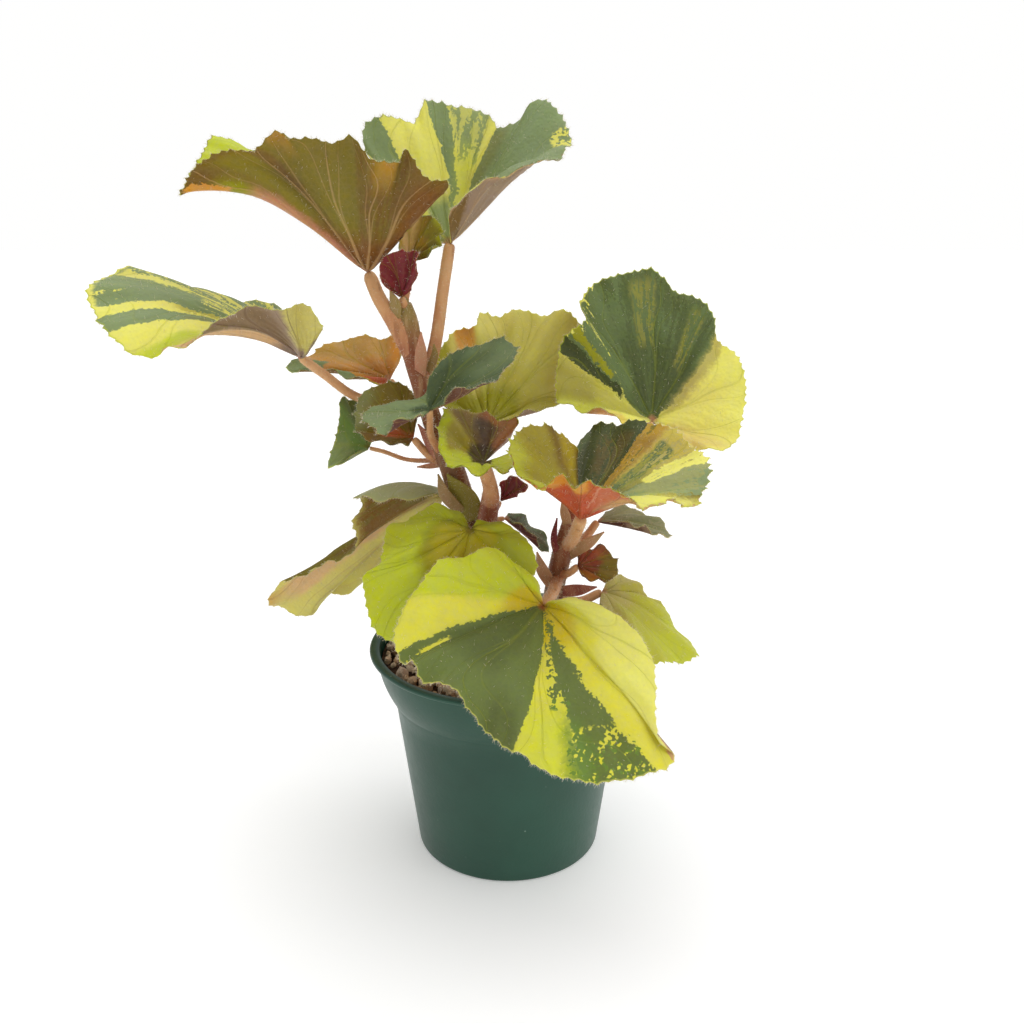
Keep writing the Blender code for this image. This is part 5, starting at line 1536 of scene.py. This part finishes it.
def write_age(mesh, paths):
    """How old the stem is at each point, by the nearest path, and how green it is."""
    points = np.empty(len(mesh.vertices) * 3)
    mesh.vertices.foreach_get("co", points)
    points = points.reshape(-1, 3) / MM
    nearest = np.full(len(points), 1e9)
    age = np.zeros(len(points))
    for path, (first, last) in paths:
        for k, (x, y, z, radius) in enumerate(path):
            far = np.linalg.norm(points - (x, y, z), axis=1) - radius
            part = k / (len(path) - 1)
            closer = far < nearest
            nearest = np.where(closer, far, nearest)
            age = np.where(closer, first + (last - first) * part, age)
    write_values(mesh, "POINT", "age", age)
    high = np.clip((points[:, 2] - GREEN_FROM) / GREEN_BLEND, 0, 1)
    write_values(mesh, "POINT", "green", GREEN_MOST * high * (age > GREEN_OLDER_THAN))


def add_stems(name, foot, cane, shoots, stalks, finish):
    """A cane with its shoots and leaf stalks, melted into one grown body."""
    rows = [(name, foot_row(foot) + sight_row(cane), CANE_AGES)]
    rows += [(name + "_shoot", sight_row(shoot), SHOOT_AGES) for shoot in shoots]
    rows += [(name + "_stalk", stalk_row(points, blade), STALK_AGES)
             for blade, points in stalks.items()]
    pieces, paths = [], []
    for part, row, ages in rows:
        tube, path = add_tube(part, row)
        pieces.append(tube)
        paths.append((path, ages))
    stems = join(name, pieces)
    melt(stems)
    write_age(stems.data, paths)
    return with_material(stems, finish)


def add_stipules(name, rows, finish):
    """Thin pointed stipules, as one piece."""
    pieces = []
    for base, middle, tip, half_width, tone in rows:
        widths = (STIPULE_BASE * half_width, half_width, STIPULE_TIP)
        row = [np.append(seen(*point), wide) for point, wide in zip((base, middle, tip), widths)]
        piece = add_tube(name, row, STIPULE_SIDES, STIPULE_STEPS, STIPULE_THICK)[0]
        write_values(piece.data, "POINT", "tone", np.full(len(piece.data.vertices), tone))
        pieces.append(piece)
    return with_material(join(name, pieces), finish)


def add_turned(name, profile, sides):
    """A closed body turned about Z from (radius, z) rows that start and end on the axis."""
    inner = profile[1:-1]
    turn = FULL_TURN * np.arange(sides) / sides
    rings = [np.stack([r * np.cos(turn), r * np.sin(turn), np.full(sides, z)], 1)
             for r, z in inner]
    points = np.vstack([[[0, 0, profile[0][1]]], *rings, [[0, 0, profile[-1][1]]]])
    last = len(points) - 1
    faces = []
    for k in range(sides):
        after = (k + 1) % sides
        faces.append((0, 1 + after, 1 + k))
        for row in range(len(inner) - 1):
            a, b = 1 + row * sides + k, 1 + row * sides + after
            faces.append((a, b, b + sides, a + sides))
        top = 1 + (len(inner) - 1) * sides
        faces.append((last, top + k, top + after))
    return new_piece(name, points, faces)


def arc(middle, radius, start, end, steps):
    """(radius, z) points of an arc, with its angles in degrees."""
    turns = np.radians(np.linspace(start, end, steps))
    return [(middle[0] + radius * math.cos(t), middle[1] + radius * math.sin(t)) for t in turns]


def shoulder():
    """The curved band between the body and the lip."""
    rise = POT_HEIGHT - LIP_THICK - BODY_TOP_Z
    rows = []
    for k in range(1, BAND_ROWS + 1):
        part = k / BAND_ROWS
        swell = math.sin(part * math.pi / 2) ** BAND_SWELL
        rows.append((BODY_TOP_RADIUS + (BAND_TOP_RADIUS - BODY_TOP_RADIUS) * swell,
                     BODY_TOP_Z + BAND_FROM + (rise - BAND_FROM) * part))
    return rows


def pot_profile():
    """The pot's outside from the middle of its base, over the lip, and down its inside."""
    foot = arc((BASE_RADIUS - FOOT_ROUND, FOOT_ROUND), FOOT_ROUND, -90, -5, 8)
    body = [(BASE_RADIUS + (BODY_TOP_RADIUS - BASE_RADIUS) * k / BODY_ROWS,
             FOOT_ROUND + (BODY_TOP_Z - FOOT_ROUND) * k / BODY_ROWS)
            for k in range(1, BODY_ROWS + 1)]
    body.append((BODY_TOP_RADIUS + STEP_OUT, BODY_TOP_Z + STEP_UP))
    body += shoulder()
    half = LIP_THICK / 2
    lip = arc((LIP_RADIUS - half, POT_HEIGHT - half), half, -80, 90, 12)
    mouth = [(BAND_TOP_RADIUS + 0.2, POT_HEIGHT),
             (BAND_TOP_RADIUS - WALL + 0.3, POT_HEIGHT - 0.5)]
    inside = [(radius - WALL, z) for radius, z in reversed(body)]
    floor = (BASE_RADIUS - WALL + 0.2, BASE_THICK)
    return [(0.0, 0.0), *foot, *body, *lip, *mouth, *inside, floor, (0.0, BASE_THICK)]


def drain(pot):
    """Cuts the drain holes, on a circle in the pot's base."""
    drills = []
    for k in range(DRAIN_HOLES):
        turn = FULL_TURN * (k + 0.5) / DRAIN_HOLES
        x, y = DRAIN_CIRCLE * math.cos(turn), DRAIN_CIRCLE * math.sin(turn)
        row = [np.array([x, y, -2.0, DRAIN_RADIUS]), np.array([x, y, 4.0, DRAIN_RADIUS])]
        drill = add_tube("drill", row, DRAIN_SIDES, 1)[0]
        cut = pot.modifiers.new("drain", "BOOLEAN")
        cut.operation = "DIFFERENCE"
        cut.object = drill
        drills.append(drill)
    mesh = plain_mesh(pot)
    pot.modifiers.clear()
    pot.data = mesh
    for drill in drills:
        bpy.data.objects.remove(drill, do_unlink=True)


def add_pot(finish):
    pot = add_turned("pot_dressed", pot_profile(), POT_SIDES)
    drain(pot)
    pot.data.set_sharp_from_angle(angle=SHARP_ANGLE)
    return with_material(pot, finish)


def grain_shapes():
    """A hidden collection of lumpy, angular grains about 1 mm in radius."""
    shapes = bpy.data.collections.new("grain_shapes")
    for k in range(GRAIN_SHAPES):
        bpy.ops.mesh.primitive_ico_sphere_add(subdivisions=2, radius=MM)
        grain = bpy.context.object
        grain.name = f"grain_{k}"
        stretch = Vector((1.15, 0.95, 0.8 - 0.04 * k))
        for vertex in grain.data.vertices:
            way = vertex.co.normalized()
            lump = noise.noise(way * 1.1 + Vector((7.0 * k, 3.0, 1.0)))
            chip = noise.noise(way * 2.6 + Vector((1.0, 5.0 * k, 2.0)))
            vertex.co = way * MM * (1.0 + GRAIN_LUMP * lump + GRAIN_CHIP * chip)
            vertex.co = vertex.co * stretch
        for owner in list(grain.users_collection):
            owner.objects.unlink(grain)
        shapes.objects.link(grain)
    return shapes


def soil_bed(radius, height):
    """A flat disc of small faces that the grit is laid on."""
    points = [(0.0, 0.0, height)]
    for ring in range(1, BED_RINGS + 1):
        far = radius * ring / BED_RINGS
        for k in range(BED_SIDES):
            turn = FULL_TURN * k / BED_SIDES
            points.append((far * math.cos(turn), far * math.sin(turn), height))
    faces = [(0, 1 + k, 1 + (k + 1) % BED_SIDES) for k in range(BED_SIDES)]
    for ring in range(BED_RINGS - 1):
        for k in range(BED_SIDES):
            a = 1 + ring * BED_SIDES + k
            b = 1 + ring * BED_SIDES + (k + 1) % BED_SIDES
            faces.append((a, a + BED_SIDES, b + BED_SIDES, b))
    return new_piece("bed", points, faces)


def add_grit(finish):
    """Pumice grains on the soil: large ones side by side, and small ones among them."""
    tree = grit_tree()
    shapes = grain_shapes()
    layers = []
    for layer in GRIT_LAYERS:
        bed = soil_bed(SOIL_RADIUS - layer["large"], SOIL_TOP + layer["over"])
        layers.append(grown(
            bed, tree, "grit_layer", Grains=shapes, Spacing=layer["spacing"] * MM,
            Density=layer["density"], Small=layer["small"], Large=layer["large"],
            Seed=layer["seed"], Material=finish))
        bpy.data.objects.remove(bed, do_unlink=True)
    for grain in list(shapes.objects):
        bpy.data.objects.remove(grain, do_unlink=True)
    bpy.data.collections.remove(shapes)
    return join("grit", layers)


def dress_leaves(tree, hair):
    hairs = []
    for seed, (name, spec) in enumerate(BLADES.items()):
        leaf = add_blade(name + "_dressed", spec, TOOTHED.get(name, 1.0))
        with_material(leaf, leaf_finish(name + "_tissue", spec, PAINT[name], 3.0 * seed))
        hairs.append(grow_fuzz(leaf, tree, name + "_fuzz", LEAF_HAIRS, seed, hair))
        settle(leaf, "young_leaf" if name in YOUNG_BLADES else "leaf", name)
    settle(join("leaf_hairs", hairs), "leaf")


def dress_stems(tree, hair):
    stem, stipule = stem_finish(), stipule_finish()
    for name, foot, cane, shoots, stalks, stipules in (
            ("cane_left", LEFT_FOOT, CANE_LEFT, [LEFT_SHOOT], LEFT_STALKS, LEFT_STIPULES),
            ("cane_right", RIGHT_FOOT, CANE_RIGHT, [], RIGHT_STALKS, RIGHT_STIPULES)):
        stems = add_stems(name + "_dressed", foot, cane, shoots, stalks, stem)
        hairs = grow_stem_fuzz(stems, tree, name + "_hairs", STEM_SEED, hair)
        leaflets = add_stipules(name + "_stipules", stipules, stipule)
        more = grow_stem_fuzz(leaflets, tree, name + "_stipule_hairs", STIPULE_SEED, hair)
        settle(stems, "stem", name)
        settle(join(name + "_hairs", [hairs, more]), "stem")
        settle(leaflets, "stem", name)


def dress_pot_and_soil():
    settle(add_pot(pot_finish()), "pot_plastic", "pot")
    with_material(frame["nodes"]["soil"], soil_finish())
    settle(add_grit(grit_finish()), "soil_mix")


def add_floor():
    """The white ground, which glows a little so that it doesn't turn grey."""
    far = FLOOR_HALF
    floor = new_piece("floor", [(-far, -far, 0), (far, -far, 0), (far, far, 0), (-far, far, 0)],
                      [(0, 1, 2, 3)])
    finish = Finish("floor_white", 0.8, 0.1)
    finish.set("Base Color", FLOOR_WHITE)
    finish.set("Emission Color", LIGHT_WHITE)
    finish.set("Emission Strength", FLOOR_GLOW)
    with_material(floor, finish.material)


def light_studio():
    """Even white light all around, a white backdrop, and two broad lights."""
    world = bpy.data.worlds.new("studio")
    bpy.context.scene.world = world
    world.use_nodes = True
    nodes, links = world.node_tree.nodes, world.node_tree.links
    ambient = nodes["Background"]
    ambient.inputs["Strength"].default_value = AMBIENT
    backdrop = nodes.new("ShaderNodeBackground")
    for background in (ambient, backdrop):
        background.inputs["Color"].default_value = LIGHT_WHITE
    choice = nodes.new("ShaderNodeMixShader")
    links.new(nodes.new("ShaderNodeLightPath").outputs["Is Camera Ray"], choice.inputs[0])
    links.new(ambient.outputs[0], choice.inputs[1])
    links.new(backdrop.outputs[0], choice.inputs[2])
    links.new(choice.outputs[0], nodes["World Output"].inputs["Surface"])
    for name, (strength, direction, width) in BROAD_LIGHTS.items():
        light = bpy.data.lights.new(name, "SUN")
        light.energy = strength
        light.angle = math.radians(width)
        holder = new_object(name, light)
        holder.rotation_euler = Vector(direction).to_track_quat("Z", "Y").to_euler()
    bpy.context.scene.view_settings.view_transform = "Standard"


def add_camera():
    data = bpy.data.cameras.new("camera")
    data.sensor_width = SENSOR_MM
    data.lens = SENSOR_MM * FOCAL_PIXELS / PICTURE_WIDTH
    data.clip_start = NEAREST_SEEN
    data.clip_end = FARTHEST_SEEN
    camera = new_object("camera", data)
    camera.location = Vector(EYE * MM)
    camera.rotation_euler = (math.pi / 2 - LOOK_DOWN, 0.0, 0.0)
    bpy.context.scene.camera = camera


add_camera()
light_studio()
add_floor()
fuzz = fuzz_tree()
hair = hair_finish()
dress_pot_and_soil()
dress_stems(fuzz, hair)
dress_leaves(fuzz, hair)
